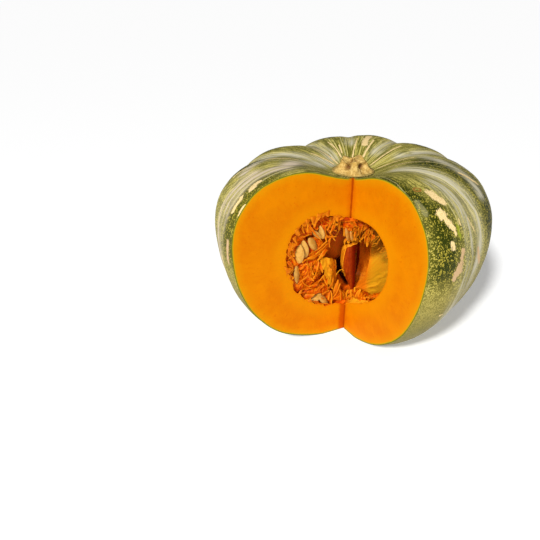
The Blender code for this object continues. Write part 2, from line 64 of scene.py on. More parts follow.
# %% Place the camera
CAMERA_SPOT = (-0.0654, -0.4686, 0.2897)
CAMERA_TILT = 62.87
LENS, SENSOR_WIDTH = 40, 36
scene = bpy.context.scene
camera = bpy.data.objects.new("camera", bpy.data.cameras.new("camera"))
camera.location = CAMERA_SPOT
camera.rotation_euler = (math.radians(CAMERA_TILT), 0, 0)
camera.data.lens, camera.data.sensor_width = LENS, SENSOR_WIDTH
scene.collection.objects.link(camera)
scene.camera = camera
scene.view_settings.view_transform = "Standard"
print("camera stands", round(camera.location.length, 3), "m from the fruit's foot")

# %% [markdown]
# ## Tools for meshes
#
# All shapes are drawn in millimetres and shrunk to metres when a piece is finished. A place
# behind a cut is three numbers: along the cut from the crease, up from the table, and
# behind the cut, as the solids' own source has them.

# %% Directions and places
MM = 0.001
UP = Vector((0, 0, 1))
CREASE = Vector((0, -16, 0))
LEFT_CUT, RIGHT_CUT = -63, 27


def direction(azimuth):
    """The level direction at an azimuth: 0 is the front, 90 the right."""
    turn = math.radians(azimuth)
    return Vector((math.sin(turn), -math.cos(turn), 0))


def azimuth_of(place):
    return math.degrees(math.atan2(place[0], -place[1])) % 360


LEFT_ALONG, LEFT_INTO = direction(LEFT_CUT), direction(LEFT_CUT - 90)
RIGHT_ALONG, RIGHT_INTO = direction(RIGHT_CUT), direction(RIGHT_CUT + 90)


def behind_left(along, height, depth):
    return CREASE + LEFT_ALONG * along + UP * height + LEFT_INTO * depth


def behind_right(along, height, depth):
    return CREASE + RIGHT_ALONG * along + UP * height + RIGHT_INTO * depth


print("the crease stands", -CREASE.y, "mm before the axis")

# %% Turning a drawn mesh into an object


def object_from(mesh_data, name, materials=()):
    """Puts a bmesh into a new object and frees it."""
    mesh = bpy.data.meshes.new(name)
    mesh_data.to_mesh(mesh)
    mesh_data.free()
    for material in materials:
        mesh.materials.append(material)
    piece = bpy.data.objects.new(name, mesh)
    scene.collection.objects.link(piece)
    return piece


def settle(piece):
    """Applies all modifiers to the mesh, so that later steps work on the real shape."""
    bpy.context.view_layer.update()
    evaluated = piece.evaluated_get(bpy.context.evaluated_depsgraph_get())
    mesh = bpy.data.meshes.new_from_object(evaluated)
    piece.modifiers.clear()
    piece.data = mesh
    return piece


def combine(piece, operation, other):
    """One Boolean, applied. The other shape is used up."""
    modifier = piece.modifiers.new(operation.lower(), "BOOLEAN")
    modifier.operation = operation
    modifier.object = other
    modifier.solver = "EXACT"
    modifier.material_mode = "TRANSFER"
    settle(piece)
    bpy.data.objects.remove(other, do_unlink=True)
    return piece


def finish_piece(piece, slot, *nodes, smooth_angle=None):
    """Shrinks a piece to metres and hands it to the frame."""
    piece.data.transform(Matrix.Scale(MM, 4))
    piece.data.shade_smooth()
    if smooth_angle:
        piece.data.set_sharp_from_angle(angle=math.radians(smooth_angle))
    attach(piece, "root")
    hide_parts(*nodes)
    triangles = sum(len(face.vertices) - 2 for face in piece.data.polygons)
    print(piece.name, "has", triangles, "triangles")
    return piece


def spun(profile, steps):
    """Turns (radius, height) points round the Z axis into a closed skin."""
    mesh_data = bmesh.new()
    verts = [mesh_data.verts.new((radius, 0, height)) for radius, height in profile]
    edges = [mesh_data.edges.new(pair) for pair in zip(verts, verts[1:])]
    bmesh.ops.spin(mesh_data, geom=verts + edges, axis=UP, cent=(0, 0, 0),
                   steps=steps, angle=math.tau, use_merge=True)
    bmesh.ops.remove_doubles(mesh_data, verts=mesh_data.verts[:], dist=0.001)
    bmesh.ops.recalc_face_normals(mesh_data, faces=mesh_data.faces[:])
    return mesh_data


def even_points(curve, count):
    """Reads count points at even spacing along curve(t), t from 0 to 1, ends included."""
    fine = [curve(step / 600) for step in range(601)]
    lengths = [0.0]
    for before, after in zip(fine, fine[1:]):
        lengths.append(lengths[-1] + math.dist(before, after))
    places = np.linspace(0, lengths[-1], count)
    return list(zip(*[np.interp(places, lengths, side).tolist() for side in zip(*fine)]))


print("mesh tools ready")

# %% Numbers stored on a mesh


def paint(piece, name, values):
    """Stores one number per vertex, which a material can read by its name."""
    layer = piece.data.attributes.new(name, "FLOAT", "POINT")
    layer.data.foreach_set("value", np.asarray(values, np.float32))


def rows_of(items, field):
    """One row of three numbers for each item of a mesh."""
    flat = np.empty(len(items) * 3, np.float32)
    items.foreach_get(field, flat)
    return flat.reshape(-1, 3).astype(float)


def corners(piece):
    return rows_of(piece.data.vertices, "co")


def normals_of(piece):
    return rows_of(piece.data.vertex_normals, "vector")


def line_distance(places, start, end):
    """How far each place is from the straight line between two points."""
    start, along = np.array(start), np.array(end) - np.array(start)
    share = np.clip((places - start) @ along / max(along @ along, 1e-9), 0, 1)
    return np.linalg.norm(places - start - share[:, None] * along, axis=1)


def tree_of(*pieces):
    """One search tree over the faces of several pieces."""
    verts, faces = [], []
    for piece in pieces:
        start = len(verts)
        verts += [vert.co.copy() for vert in piece.data.vertices]
        faces += [[start + index for index in face.vertices] for face in piece.data.polygons]
    return BVHTree.FromPolygons(verts, faces)


def even_directions(count):
    """Directions spread evenly over a ball."""
    spread = []
    for index in range(count):
        level = 1 - 2 * (index + 0.5) / count
        turn = index * math.pi * (3 - math.sqrt(5))
        width = math.sqrt(1 - level * level)
        spread.append(Vector((width * math.cos(turn), width * math.sin(turn), level)))
    return spread


RAYS = even_directions(30)
RAY_START = 0.15


def openness_of(piece, tree, reach, chosen=None):
    """For each vertex, the share of rays that meet nothing within reach: crevices score low."""
    places, normals = corners(piece), normals_of(piece)
    result = np.ones(len(places))
    for index in range(len(places)) if chosen is None else chosen:
        start, normal = Vector(places[index]), Vector(normals[index])
        start += normal * RAY_START
        free, sent = 0.0, 0
        for ray in RAYS:
            if ray.dot(normal) > 0.1:
                sent += 1
                distance = tree.ray_cast(start, ray, reach)[3]
                free += 1 if distance is None else 0.5 * distance / reach
        result[index] = free / max(sent, 1)
    return result


print(len(RAYS), "rays measure how open a crevice is")

# %% [markdown]
# ## Tools for materials
#
# A material is a net of nodes. Here one small class wraps a socket, so that the net can be
# written as a formula: adding two wrapped sockets adds a Math node. Colours are named as
# they look on a screen, 0 to 255, and turned into the linear numbers that light needs.

# %% A socket that can be reckoned with


class Flow:
    """One socket of a material, used in Python like the value that flows out of it."""

    def __init__(self, material, socket=None):
        self.material = material
        self.socket = socket

    def node(self, kind, inputs=None, output=0, **settings):
        """Adds any node: its settings first, then the values or links of its sockets."""
        tree = self.material.node_tree
        made = tree.nodes.new(kind)
        for name, value in settings.items():
            setattr(made, name, value)
        for key, value in (inputs or {}).items():
            if isinstance(value, Flow):
                tree.links.new(value.socket, made.inputs[key])
            else:
                made.inputs[key].default_value = value
        return Flow(self.material, made.outputs[output])

    def math(self, operation, *values):
        return self.node("ShaderNodeMath", dict(enumerate(values)), operation=operation)

    def __add__(self, other):
        return self.math("ADD", self, other)

    def __radd__(self, other):
        return self.math("ADD", other, self)

    def __sub__(self, other):
        return self.math("SUBTRACT", self, other)

    def __rsub__(self, other):
        return self.math("SUBTRACT", other, self)

    def __mul__(self, other):
        return self.math("MULTIPLY", self, other)

    def __rmul__(self, other):
        return self.math("MULTIPLY", other, self)

    def __truediv__(self, other):
        return self.math("DIVIDE", self, other)


def linear(value):
    """The sRGB rule that turns a screen value into an amount of light."""
    value /= 255
    return value / 12.92 if value <= 0.04045 else ((value + 0.055) / 1.055) ** 2.4


def shade(red, green, blue):
    """A colour as it looks on a screen, 0 to 255."""
    return (linear(red), linear(green), linear(blue), 1)


print("a bright flesh orange in linear light:", [round(v, 3) for v in shade(238, 143, 3)])

# %% Masks, mixes and noise


def between(value, low, high):
    """0 at low, 1 at high, smooth between them. Low may be the larger."""
    return value.node("ShaderNodeMapRange", {"Value": value, "From Min": low, "From Max": high},
                      interpolation_type="SMOOTHSTEP")


def mixed(mask, first, second):
    """The first colour where the mask is 0, the second where it is 1."""
    return mask.node("ShaderNodeMix", {0: mask, 6: first, 7: second}, output=2,
                     data_type="RGBA")


def layered(colour, *layers):
    """Lays colours over a first one in turn. Each layer is its mask and its colour."""
    for mask, over in layers:
        colour = mixed(mask, colour, over)
    return colour


def held(value):
    """Keeps a value from 0 to 1."""
    return value.node("ShaderNodeClamp", {"Value": value})


def cloud(place, size, detail=2.0, rough=0.5):
    """Soft random values round a half, in clumps of a size in millimetres."""
    return place.node("ShaderNodeTexNoise", {"Vector": place, "Scale": 1 / size,
                                             "Detail": detail, "Roughness": rough})


def stretched(x, y, z):
    """A place for noise, made of three values."""
    return x.node("ShaderNodeCombineXYZ", {"X": x, "Y": y, "Z": z})


def scaled(place, x, y, z):
    return place.node("ShaderNodeVectorMath", {0: place, 1: (x, y, z)}, operation="MULTIPLY")


def one_axis(place, axis):
    return place.node("ShaderNodeSeparateXYZ", {"Vector": place}, output=axis)


def new_material(name):
    """An empty material and its place coordinate in millimetres."""
    material = bpy.data.materials.new(name)
    material.use_nodes = True
    start = Flow(material)
    place = scaled(start.node("ShaderNodeTexCoord", output="Object"), *[1 / MM] * 3)
    return material, place


def stored(place, name):
    """A number that paint() stored on the mesh."""
    return place.node("ShaderNodeAttribute", output="Fac", attribute_name=name)


def dress(material, colour, rough, relief=None, relief_strength=1.0, **fixed):
    """Feeds the shader. Relief is in millimetres; fixed values go on the shader's sockets."""
    nodes, links = material.node_tree.nodes, material.node_tree.links
    shader = nodes["Principled BSDF"]
    for name, value in fixed.items():
        shader.inputs[name.replace("_", " ")].default_value = value
    for name, value in (("Base Color", colour), ("Roughness", rough)):
        if isinstance(value, Flow):
            links.new(value.socket, shader.inputs[name])
        else:
            shader.inputs[name].default_value = value
    if relief is not None:
        bump = relief.node("ShaderNodeBump", {"Height": relief, "Distance": MM,
                                              "Strength": relief_strength})
        links.new(bump.socket, shader.inputs["Normal"])
    return material


print("material tools ready")

# %% [markdown]
# ## The body
#
# The fruit is a squat round body with nine ribs. Its profile is spun round the axis in fine
# steps and the ribs are raised on it by the same rule as in the solids, here with soft
# grooves and the small unevenness that a grown skin has.

# %% The round body
BODY_RADIUS = 112.5
WIDEST_HEIGHT = 99.4
SHOULDER_RISE, SHOULDER_FULLNESS = 54.9, 4.2
CROWN_DIP, CROWN_DIP_RADIUS = 19.0, 38.0
UNDERSIDE_DROP, UNDERSIDE_FULLNESS = 101.0, 2.74
REST_RADIUS = 32.0
SEAT_RADIUS = 18.8


def crown_height(radius):
    dip = CROWN_DIP * math.exp(-(radius / CROWN_DIP_RADIUS) ** 2)
    rise = SHOULDER_RISE * math.sqrt(max(0, 1 - (radius / BODY_RADIUS) ** SHOULDER_FULLNESS))
    return rise - dip


def body_profile(shoulder_points, underside_points):
    def shoulder(t):
        share = math.sin(t * math.pi / 2) ** (2 / SHOULDER_FULLNESS)
        radius = SEAT_RADIUS + (BODY_RADIUS - SEAT_RADIUS) * share
        return radius, WIDEST_HEIGHT + crown_height(radius)

    def underside(t):
        turn = t * math.acos(REST_RADIUS / BODY_RADIUS)
        radius = BODY_RADIUS * math.cos(turn)
        share = 1 - (radius / BODY_RADIUS) ** UNDERSIDE_FULLNESS
        return radius, WIDEST_HEIGHT - UNDERSIDE_DROP * math.sqrt(max(0, share))

    upper = even_points(shoulder, shoulder_points)
    lower = even_points(underside, underside_points)
    lower[-1] = (REST_RADIUS, 0.0)
    seat = [(SEAT_RADIUS * share, upper[0][1]) for share in (0, 0.35, 0.7)]
    rest = [(REST_RADIUS * share, 0.0) for share in (0.7, 0.35, 0)]
    return seat + upper + lower[1:] + rest


PROFILE_POINTS = 50
round_profile = body_profile(PROFILE_POINTS, PROFILE_POINTS)
print("the profile has", len(round_profile), "points")

# %% The ribs
# Each groove: its azimuth, how far it stands from the round body, and the next rib's swell
RIBS = ((5, -10.0, 5.8), (53, -2.5, 4.6), (106, -2.5, 4.3), (140, -3.5, 5.2), (175, -2.4, 5.2),
        (207, -10.0, 5.2), (250, -8.0, 2.5), (288, -1.5, 4.5), (330, -7.0, 5.0))
RIB_ROUNDNESS = 0.7
GROOVE_SOFTNESS = 1.6
RIB_FADE_TO_CROWN, RIB_FADE_TO_REST = 1.2, 45.0


def sharp_rib(azimuth):
    azimuth = (azimuth - RIBS[0][0]) % 360 + RIBS[0][0]
    for index, (start, groove, swell) in enumerate(RIBS):
        following, next_groove = RIBS[(index + 1) % len(RIBS)][:2]
        width = (following - start) % 360
        if azimuth <= start + width:
            share = (azimuth - start) / width
            lobe = math.sin(math.pi * min(1, max(0, share))) ** RIB_ROUNDNESS
            return groove + (next_groove - groove) * share + swell * lobe


def rib_offset(azimuth):
    """How far the skin stands out of the round body, with the grooves' bottoms rounded."""
    spread = [-1, -0.6, -0.25, 0, 0.25, 0.6, 1]
    return sum(sharp_rib(azimuth + GROOVE_SOFTNESS * step) for step in spread) / len(spread)


STEPS_PER_DEGREE = 2
rib_table = [rib_offset(step / STEPS_PER_DEGREE) for step in range(360 * STEPS_PER_DEGREE)]


def rib_height(azimuth):
    """The rib offset read from the table, which is quicker than the sum."""
    step = (azimuth % 360) * STEPS_PER_DEGREE
    low = int(step) % len(rib_table)
    share = step - int(step)
    return rib_table[low] * (1 - share) + rib_table[(low + 1) % len(rib_table)] * share


print("ribs stand from", round(min(rib_table), 1), "to", round(max(rib_table), 1), "mm")

# %% Raise the ribs and the small unevenness
# Waves of the skin: how long and how high
SKIN_WAVES = ((46, 0.9), (19, 0.45), (7, 0.14))
SKIN_STEPS = 360


def skin_place(azimuth, radius, height):
    """Moves a point of the round body out or in along the body's own normal."""
    if radius < 0.1:
        return Vector((0, 0, height))
    level = height - WIDEST_HEIGHT
    across = min(1, max(0, (radius - SEAT_RADIUS) / (BODY_RADIUS - SEAT_RADIUS)))
    strength = math.sin(across * math.pi / 2) ** RIB_FADE_TO_CROWN
    fullness, drop = ((SHOULDER_FULLNESS, SHOULDER_RISE) if level > 0
                      else (UNDERSIDE_FULLNESS, UNDERSIDE_DROP))
    fade = min(1, max(0, (radius - REST_RADIUS) / RIB_FADE_TO_REST)) if level <= 0 else 1
    slope = Vector((fullness * (radius / BODY_RADIUS) ** (fullness - 1) / BODY_RADIUS,
                    2 * level / drop ** 2)).normalized()
    place = direction(azimuth) * radius + UP * height
    waves = sum(size * noise.noise(place / period) for period, size in SKIN_WAVES)
    offset = (rib_height(azimuth) * strength + waves * min(1, strength * 2)) * fade
    place += direction(azimuth) * offset * slope.x
    place.z += offset * slope.y
    return place


skin_data = spun(round_profile, SKIN_STEPS)
for vert in skin_data.verts:
    vert.co = skin_place(azimuth_of(vert.co), math.hypot(vert.co.x, vert.co.y), vert.co.z)
print("the whole skin has", len(skin_data.faces), "faces")

# %% [markdown]
# ## The seed hollow
#
# The hollow is a second spun shape. On its wall run the pale seam where the pulp was
# attached, and fine ridges that fan out from the middle. It is taken out of the body
# together with a block that stands for the missing quarter. Each cutter carries its own
# material, and the Boolean passes it on to the faces that it leaves.

# %% The hollow
CAVITY_RADIUS, CAVITY_LEVEL = 67.5, 81.4
CAVITY_RISE, CAVITY_FULLNESS = 32.6, 4.0
CAVITY_ROOF_DIP, CAVITY_ROOF_DIP_RADIUS = 10.0, 33.6
CAVITY_DROP = 55.5
CAVITY_LEAN = 0.13
# The seam on the right wall stands in an upright plane through these two points
SEAM_FRONT, SEAM_BACK = Vector((18.5, -10.8, 0)), Vector((30.0, 46.8, 0))
SEAM_NORMAL = (SEAM_BACK - SEAM_FRONT).cross(UP).normalized()
SEAM_HEIGHT, SEAM_WIDTH = 1.3, 1.0
FAN_HEIGHT = 0.35
TORN_DEPTH = 14


def cavity_profile(points, inset):
    def roof(t):
        turn = t * math.pi / 2
        radius = (CAVITY_RADIUS - inset) * math.sin(turn) ** (2 / CAVITY_FULLNESS)
        dip = CAVITY_ROOF_DIP * math.exp(-(radius / CAVITY_ROOF_DIP_RADIUS) ** 2)
        return radius, CAVITY_LEVEL + (CAVITY_RISE - inset) * math.cos(turn) - dip

    def floor(t):
        turn = t * math.pi / 2
        return ((CAVITY_RADIUS - inset) * math.cos(turn),
                CAVITY_LEVEL - (CAVITY_DROP - inset) * math.sin(turn))

    return even_points(roof, points) + even_points(floor, points)[1:]


def wall_relief(place):
    """How far the wall stands into the hollow at a place: the seam, the fan and torn pulp."""
    aside = (place - SEAM_FRONT).dot(SEAM_NORMAL)
    has_seam = place.x > 8 and place.z < 96
    seam = SEAM_HEIGHT * math.exp(-(aside / SEAM_WIDTH) ** 2) if has_seam else 0
    fan = FAN_HEIGHT * noise.noise(Vector((azimuth_of(place) * 0.9, place.z / 40, 3)))
    near_cut = max(0, 1 - abs((place - CREASE).dot(LEFT_INTO)) / TORN_DEPTH)
    torn = near_cut * (2.2 * noise.noise(place / 3.4) + 2 * noise.noise(place / 8))
    return seam + fan + torn + 0.6 * noise.noise(place / 14) + 0.2 * noise.noise(place / 4)


def cavity(name, steps, points, inset=0.0, relief=True):
    """The hollow round the seeds, a little taller towards the left cut."""
    mesh_data = spun(cavity_profile(points, inset), steps)
    middle = UP * CAVITY_LEVEL
    for vert in mesh_data.verts:
        radius = math.hypot(vert.co.x, vert.co.y)
        lean = CAVITY_LEAN * math.cos(math.radians(azimuth_of(vert.co) + 90))
        factor = 1 + lean * min(1, radius / (CAVITY_RADIUS * 0.5))
        vert.co.z = CAVITY_LEVEL + (vert.co.z - CAVITY_LEVEL) * factor
        if relief:
            vert.co += (middle - vert.co).normalized() * wall_relief(vert.co)
    return object_from(mesh_data, name)


HOLLOW_STEPS, HOLLOW_POINTS = 220, 46
hollow = cavity("hollow", HOLLOW_STEPS, HOLLOW_POINTS)
print("the hollow's wall has", len(hollow.data.polygons), "faces")

# %% The missing quarter
BLOCK_SIDE, BLOCK_HEIGHT, BLOCK_MIDDLE = 130.0, 180, 75
BLOCK_CUTS = 52
WAVE_FADE = 12


def knife_wave(place):
    """A knife never leaves a quite flat cut."""
    marks = noise.noise(Vector((place.x / 9, place.y / 9, place.z / 2.5)))
    return 0.35 * noise.noise(place / 40) + 0.08 * marks


block_data = bmesh.new()
bmesh.ops.create_cube(block_data, size=1)
bmesh.ops.subdivide_edges(block_data, edges=block_data.edges[:], cuts=BLOCK_CUTS,
                          use_grid_fill=True)
bmesh.ops.scale(block_data, vec=(BLOCK_SIDE, BLOCK_SIDE, BLOCK_HEIGHT),
                verts=block_data.verts[:])
middle = CREASE + (LEFT_ALONG + RIGHT_ALONG) * BLOCK_SIDE / 2 + UP * BLOCK_MIDDLE
turn = Matrix.Rotation(math.radians(RIGHT_CUT), 4, "Z")
bmesh.ops.transform(block_data, matrix=Matrix.Translation(middle) @ turn,
                    verts=block_data.verts[:])
for vert in block_data.verts:
    from_crease = vert.co - CREASE
    on_left = abs(from_crease.dot(LEFT_INTO)) < 0.01
    on_right = abs(from_crease.dot(RIGHT_INTO)) < 0.01
    if on_left != on_right:
        edge_fade = min(1, Vector((from_crease.x, from_crease.y)).length / WAVE_FADE)
        vert.co += (LEFT_INTO if on_left else RIGHT_INTO) * knife_wave(vert.co) * edge_fade
block = object_from(block_data, "block")
print("the block's faces are", round(BLOCK_SIDE / (BLOCK_CUTS + 1), 2), "mm wide")

# %% Cut the fruit
rind, rind_place = new_material("rind")
flesh, flesh_place = new_material("flesh")
wall, wall_place = new_material("hollow_wall")
fruit = object_from(skin_data, "squash_body", [rind])
block.data.materials.append(flesh)
hollow.data.materials.append(wall)
whole_skin_tree = tree_of(fruit)
hollow_tree = tree_of(hollow)
combine(fruit, "DIFFERENCE", block)
combine(fruit, "DIFFERENCE", hollow)
by_material = [0, 0, 0]
for face in fruit.data.polygons:
    by_material[face.material_index] += 1
print("faces of rind, flesh and hollow wall:", by_material)

# %% [markdown]
# ## Where the colours lie
#
# The rind's colours follow the ribs: dark speckled crests, whitish grooves and buff patches
# that scars leave. They are laid on as strokes, each a line on the skin with a width. Every
# vertex stores how near it is to a stroke, and the material turns those numbers into
# colours. A line is given by azimuth in degrees and by the way from the stem in
# millimetres, measured over the skin.

# %% Ways over the skin
FAR = 99.0
fine_profile = body_profile(8 * PROFILE_POINTS, 8 * PROFILE_POINTS)
ways = [0.0]
for before, after in zip(fine_profile, fine_profile[1:]):
    ways.append(ways[-1] + math.dist(before, after))
skin_finder = KDTree(len(fine_profile))
for index, (radius, height) in enumerate(fine_profile):
    skin_finder.insert((radius, height, 0), index)
skin_finder.balance()


def way_of(place):
    """How far a place is from the stem's middle, measured over the skin."""
    radius = math.hypot(place[0], place[1])
    return ways[skin_finder.find((radius, place[2], 0))[1]]


def skin_point(azimuth, way):
    """The place on the ribbed skin at an azimuth and a way from the stem."""
    radius, height = [float(np.interp(way, ways, side)) for side in zip(*fine_profile)]
    return skin_place(azimuth, radius, height)


def stroke_nearness(places, strokes):
    """For each place, the distance to the nearest stroke in that stroke's half widths."""
    nearest = np.full(len(places), FAR)
    for half_width, *line in strokes:
        points = []
        for (from_azimuth, from_way), (to_azimuth, to_way) in zip(line, line[1:]):
            for share in np.linspace(0, 1, 5):
                points.append(skin_point(from_azimuth + (to_azimuth - from_azimuth) * share,
                                         from_way + (to_way - from_way) * share))
        for start, end in zip(points, points[1:]):
            nearest = np.minimum(nearest, line_distance(places, start, end) / half_width)
    return nearest


print("over the skin it is", round(ways[-1]), "mm from the stem to the resting spot")

# %% The strokes
# Each stroke: its half width, then its line as pairs of azimuth and way
DARK_CRESTS = (
    (13, (30, 104), (31, 125), (31, 146)),
    (13, (75, 62), (72, 78), (69, 100), (67, 128)),
    (9.5, (301.5, 82), (301.5, 100), (300.5, 125), (301.5, 150)),
    (5, (290, 46), (298, 62), (302, 78)),
    (7, (18, 58), (22, 76), (26, 94)),
    (9, (267, 80), (267, 110)),
    (10, (232, 85), (232, 130)),
    (10, (190, 80), (190, 130)),
    (10, (157, 85), (157, 125)),
    (10, (123, 80), (123, 130)),
    (10, (95, 90), (96, 120)),
)
PALE_BANDS = (
    (7, (44, 78), (45.5, 100), (45, 125), (44, 150), (43, 185), (42, 230)),
    # The next band, along the right edge of the outline, is a painted highlight: sheen at the rim
    (2.6, (87, 84), (83, 110), (79, 140), (77, 190), (77, 240)),
    (6, (58, 40), (56, 70), (55, 110), (54, 150), (53, 200), (52, 245)),
    (5, (108, 45), (98, 55), (87, 64), (78, 75), (73, 86), (67, 107)),
    (6, (106, 60), (106, 150), (106, 200), (107, 250)),
    (5, (140, 40), (140, 190), (141, 240)),
    (4, (175, 50), (175, 190), (174, 245)),
    (6, (207, 30), (207, 200), (208, 250)), (4, (232, 150), (232, 245)),
    (5, (225, 22), (241, 38), (248, 63), (266, 74), (279, 91)),
    (6, (249, 27), (275, 45), (296, 62), (294, 82), (294, 105), (294, 124), (291, 153)),
    (6, (288, 85), (288, 150), (289, 200), (289, 245)),
    (6, (250, 50), (250, 110), (250, 200), (251, 245)),
)
BUFF_PATCHES = (
    (3.1, (33.6, 85.5), (34.4, 89)), (3.4, (35, 91), (36, 94)), (2.2, (36.2, 94.5), (36.8, 97)),
    (3.5, (32, 103.5), (33, 106.5)), (2.4, (33.4, 108.5), (34.2, 112)), (1.6, (34.4, 113), (34.8, 116)),
    (1.8, (33.8, 126), (33.9, 130)), (1.2, (36, 115), (36.2, 121)), (0.8, (39.8, 111), (39.9, 116)),
    (0.7, (46.7, 113), (48, 120), (50.1, 128)), (1.3, (70.5, 84), (71.5, 93), (73, 102)),
    (2.2, (301, 88), (301.6, 97)), (1.9, (299.8, 105), (299.7, 117)),
    (1.6, (304.5, 110), (304.5, 117)), (1.2, (265, 45), (266, 72)), (1.0, (252, 72), (250, 97)),
    (1.0, (272, 88), (275, 101)), (1.0, (36, 190), (39, 191.5)), (1.3, (292.5, 157), (292.5, 186)),
    (0.7, (205, 20), (209, 35), (214, 54)), (0.7, (216, 21), (224, 33), (230, 43)),
    (0.6, (191, 28), (195, 58)), (0.8, (153, 24), (153, 58)), (0.7, (125, 22), (125, 58)),
    (0.6, (187, 34), (187, 47)), (2.6, (159, 47), (160, 56), (159, 66)),
    (0.6, (171, 24), (168, 60)), (0.6, (98, 22), (92, 52)), (0.5, (80, 30), (76, 62)),
    (1.8, (120, 130), (121, 138)), (1.4, (228, 118), (230, 130)), (1.6, (188, 140), (189, 150)),
    (1.0, (150, 108), (151, 122)), (1.2, (270, 125), (271, 137)), (1.5, (92, 150), (93, 160)),
)
TAN_PATCHES = (
    (2.2, (39.2, 134), (38.9, 139)), (4.2, (38.2, 146), (37.6, 149)), (2.4, (36.4, 152), (36, 155)),
    (1.5, (53, 141), (55, 149), (57, 156)), (2.0, (301, 140), (300.5, 158)),
    (2.2, (214, 150), (216, 162)), (1.9, (140, 165), (141, 174)),
)
LIME_PATCHES = ((1.3, (38, 115), (37.8, 120), (38.6, 125)),)
# The scuff is a pale patch on the right crest: bloom with a painted highlight
SCUFF_SHEENS = ((2.4, (24, 91), (25.4, 101)),)
SCARS = ((2.2, (28.4, 80), (29.4, 80.5)),)
print(len(BUFF_PATCHES), "buff patches and lines")

# %% Store them on the body
STROKE_LIMIT = 4
places = corners(fruit)
paint(fruit, "azimuth", [azimuth_of(place) for place in places])
paint(fruit, "way", [way_of(place) for place in places])
for name, strokes in (("dark", DARK_CRESTS), ("pale", PALE_BANDS)):
    paint(fruit, name, np.exp(-stroke_nearness(places, strokes) ** 2))
for name, strokes in (("buff", BUFF_PATCHES), ("tan", TAN_PATCHES), ("lime", LIME_PATCHES),
                      ("scuff_sheen", SCUFF_SHEENS), ("scar", SCARS)):
    paint(fruit, name, np.minimum(stroke_nearness(places, strokes), STROKE_LIMIT))
print("strokes stored on", len(places), "vertices")

# %% Measure the cut
# The fibres of the flesh run like spokes from here: along the cut, and up
SPOKE_MIDDLE = (29, 72)
CUT_MARGIN = 3
from_crease = places - np.array(CREASE)
along_cut = np.hypot(from_crease[:, 0], from_crease[:, 1])
cut_gap = np.minimum(np.abs(from_crease @ np.array(LEFT_INTO)),
                     np.abs(from_crease @ np.array(RIGHT_INTO)))
rind_depth, hollow_gap = np.zeros(len(places)), np.zeros(len(places))
for index in np.nonzero(cut_gap < CUT_MARGIN)[0]:
    rind_depth[index] = whole_skin_tree.find_nearest(Vector(places[index]))[3]
    hollow_gap[index] = hollow_tree.find_nearest(Vector(places[index]))[3]
paint(fruit, "under_skin", rind_depth)
paint(fruit, "from_hollow", hollow_gap)
paint(fruit, "from_crease", along_cut)
paint(fruit, "spoke", np.degrees(np.arctan2(places[:, 2] - SPOKE_MIDDLE[1],
                                            along_cut - SPOKE_MIDDLE[0])))
print("thickest flesh on the cut:", round(rind_depth.max(), 1), "mm from the skin")

# %% [markdown]
# ## The rind
#
# The skin is thin and waxy, grey-olive with deep green crests. Everywhere it is speckled:
# small pale flecks, drawn out along the ribs towards the stem, where they become fine lines.
# Flecks come from noise on two coordinates that follow the skin, so they narrow towards the
# stem as the real ones do.

# %% The rind's finish
azimuth, way, dark, pale = [stored(rind_place, name) for name in
                            ("azimuth", "way", "dark", "pale")]
turned = azimuth + (cloud(rind_place, 26) - 0.5) * 5


def lines(width, length, seed, detail=3, rough=0.6):
    """Noise drawn out along the ribs, its width in degrees and its length in millimetres."""
    return cloud(stretched(turned / width, way / length, seed), 1.0, detail, rough)


crown = between(way, 80, 38)
shoulder = between(way, 140, 95)
flecks = lines(0.5, 1.25, 9.0)
spots = rind_place.node("ShaderNodeTexVoronoi", {"Vector": stretched(turned / 1.3, way / 3.1, 5.0),
                                                 "Scale": 1.0}, output="Distance")
dashes = lines(0.85, 13, 5.0, 4)
crown_lines = lines(2.1, 48, 1.0, 5)
blotches = lines(5, 16, 11.0)
streaky = dashes * 0.7 + flecks * 0.3
pattern = flecks + (streaky - flecks) * held(shoulder * (0.95 - 1.3 * dark))
pattern = pattern + (crown_lines - pattern) * (crown * 0.6)
dark_field = held(dark * 1.25 + (blotches - 0.5) * 1.3 * dark)
pattern = pattern + (0.42 - spots) * (0.16 - 0.1 * shoulder + 0.16 * dark)
light_mask = between(pattern + (blotches - 0.5) * 0.16 - dark_field * 0.06 - crown * 0.02,
                     0.45, 0.54)
print("the rind's pattern has", len(rind.node_tree.nodes), "nodes")

# %% The rind's colours
ground = layered(shade(98, 94, 18),
                 (dark_field * (1 - 0.5 * between(azimuth, 285, 295)), shade(43, 50, 2)),
                 # Painted light: the upward-facing shoulders are made paler, as where light from above
                 # falls
                 (held(shoulder * (0.25 - crown * 0.2) * (1 - dark)), shade(146, 140, 80)))
light = mixed(dark_field, shade(192, 178, 90), shade(166, 151, 54))
streak = between(lines(2.6, 90, 21.0), 0.4, 0.6)
pale_colour = mixed(between(azimuth, 262, 286), shade(194, 187, 160), shade(216, 197, 172))
# The whitish grooves' own colour, with sheen painted on the shoulders
bloom_and_sheen = held(pale * (0.14 + streak * 0.9 + shoulder * 0.2)
             + (cloud(rind_place, 9, 3) - 0.5) * pale * 0.5)
fine_lines = between(lines(1.5, 160, 31.0), 0.56, 0.66) * between(way, 170, 90) * 0.75
jag = (lines(1.1, 5.5, 41.0, 4, 0.7) - 0.5) * 3.2
buff_mask = between(stored(rind_place, "buff") + jag, 1.2, 0.8)
patch_tone = mixed(between(flecks, 0.45, 0.65), shade(236, 208, 150), shade(212, 180, 118))
scar_ring = stored(rind_place, "scar") + jag * 0.2
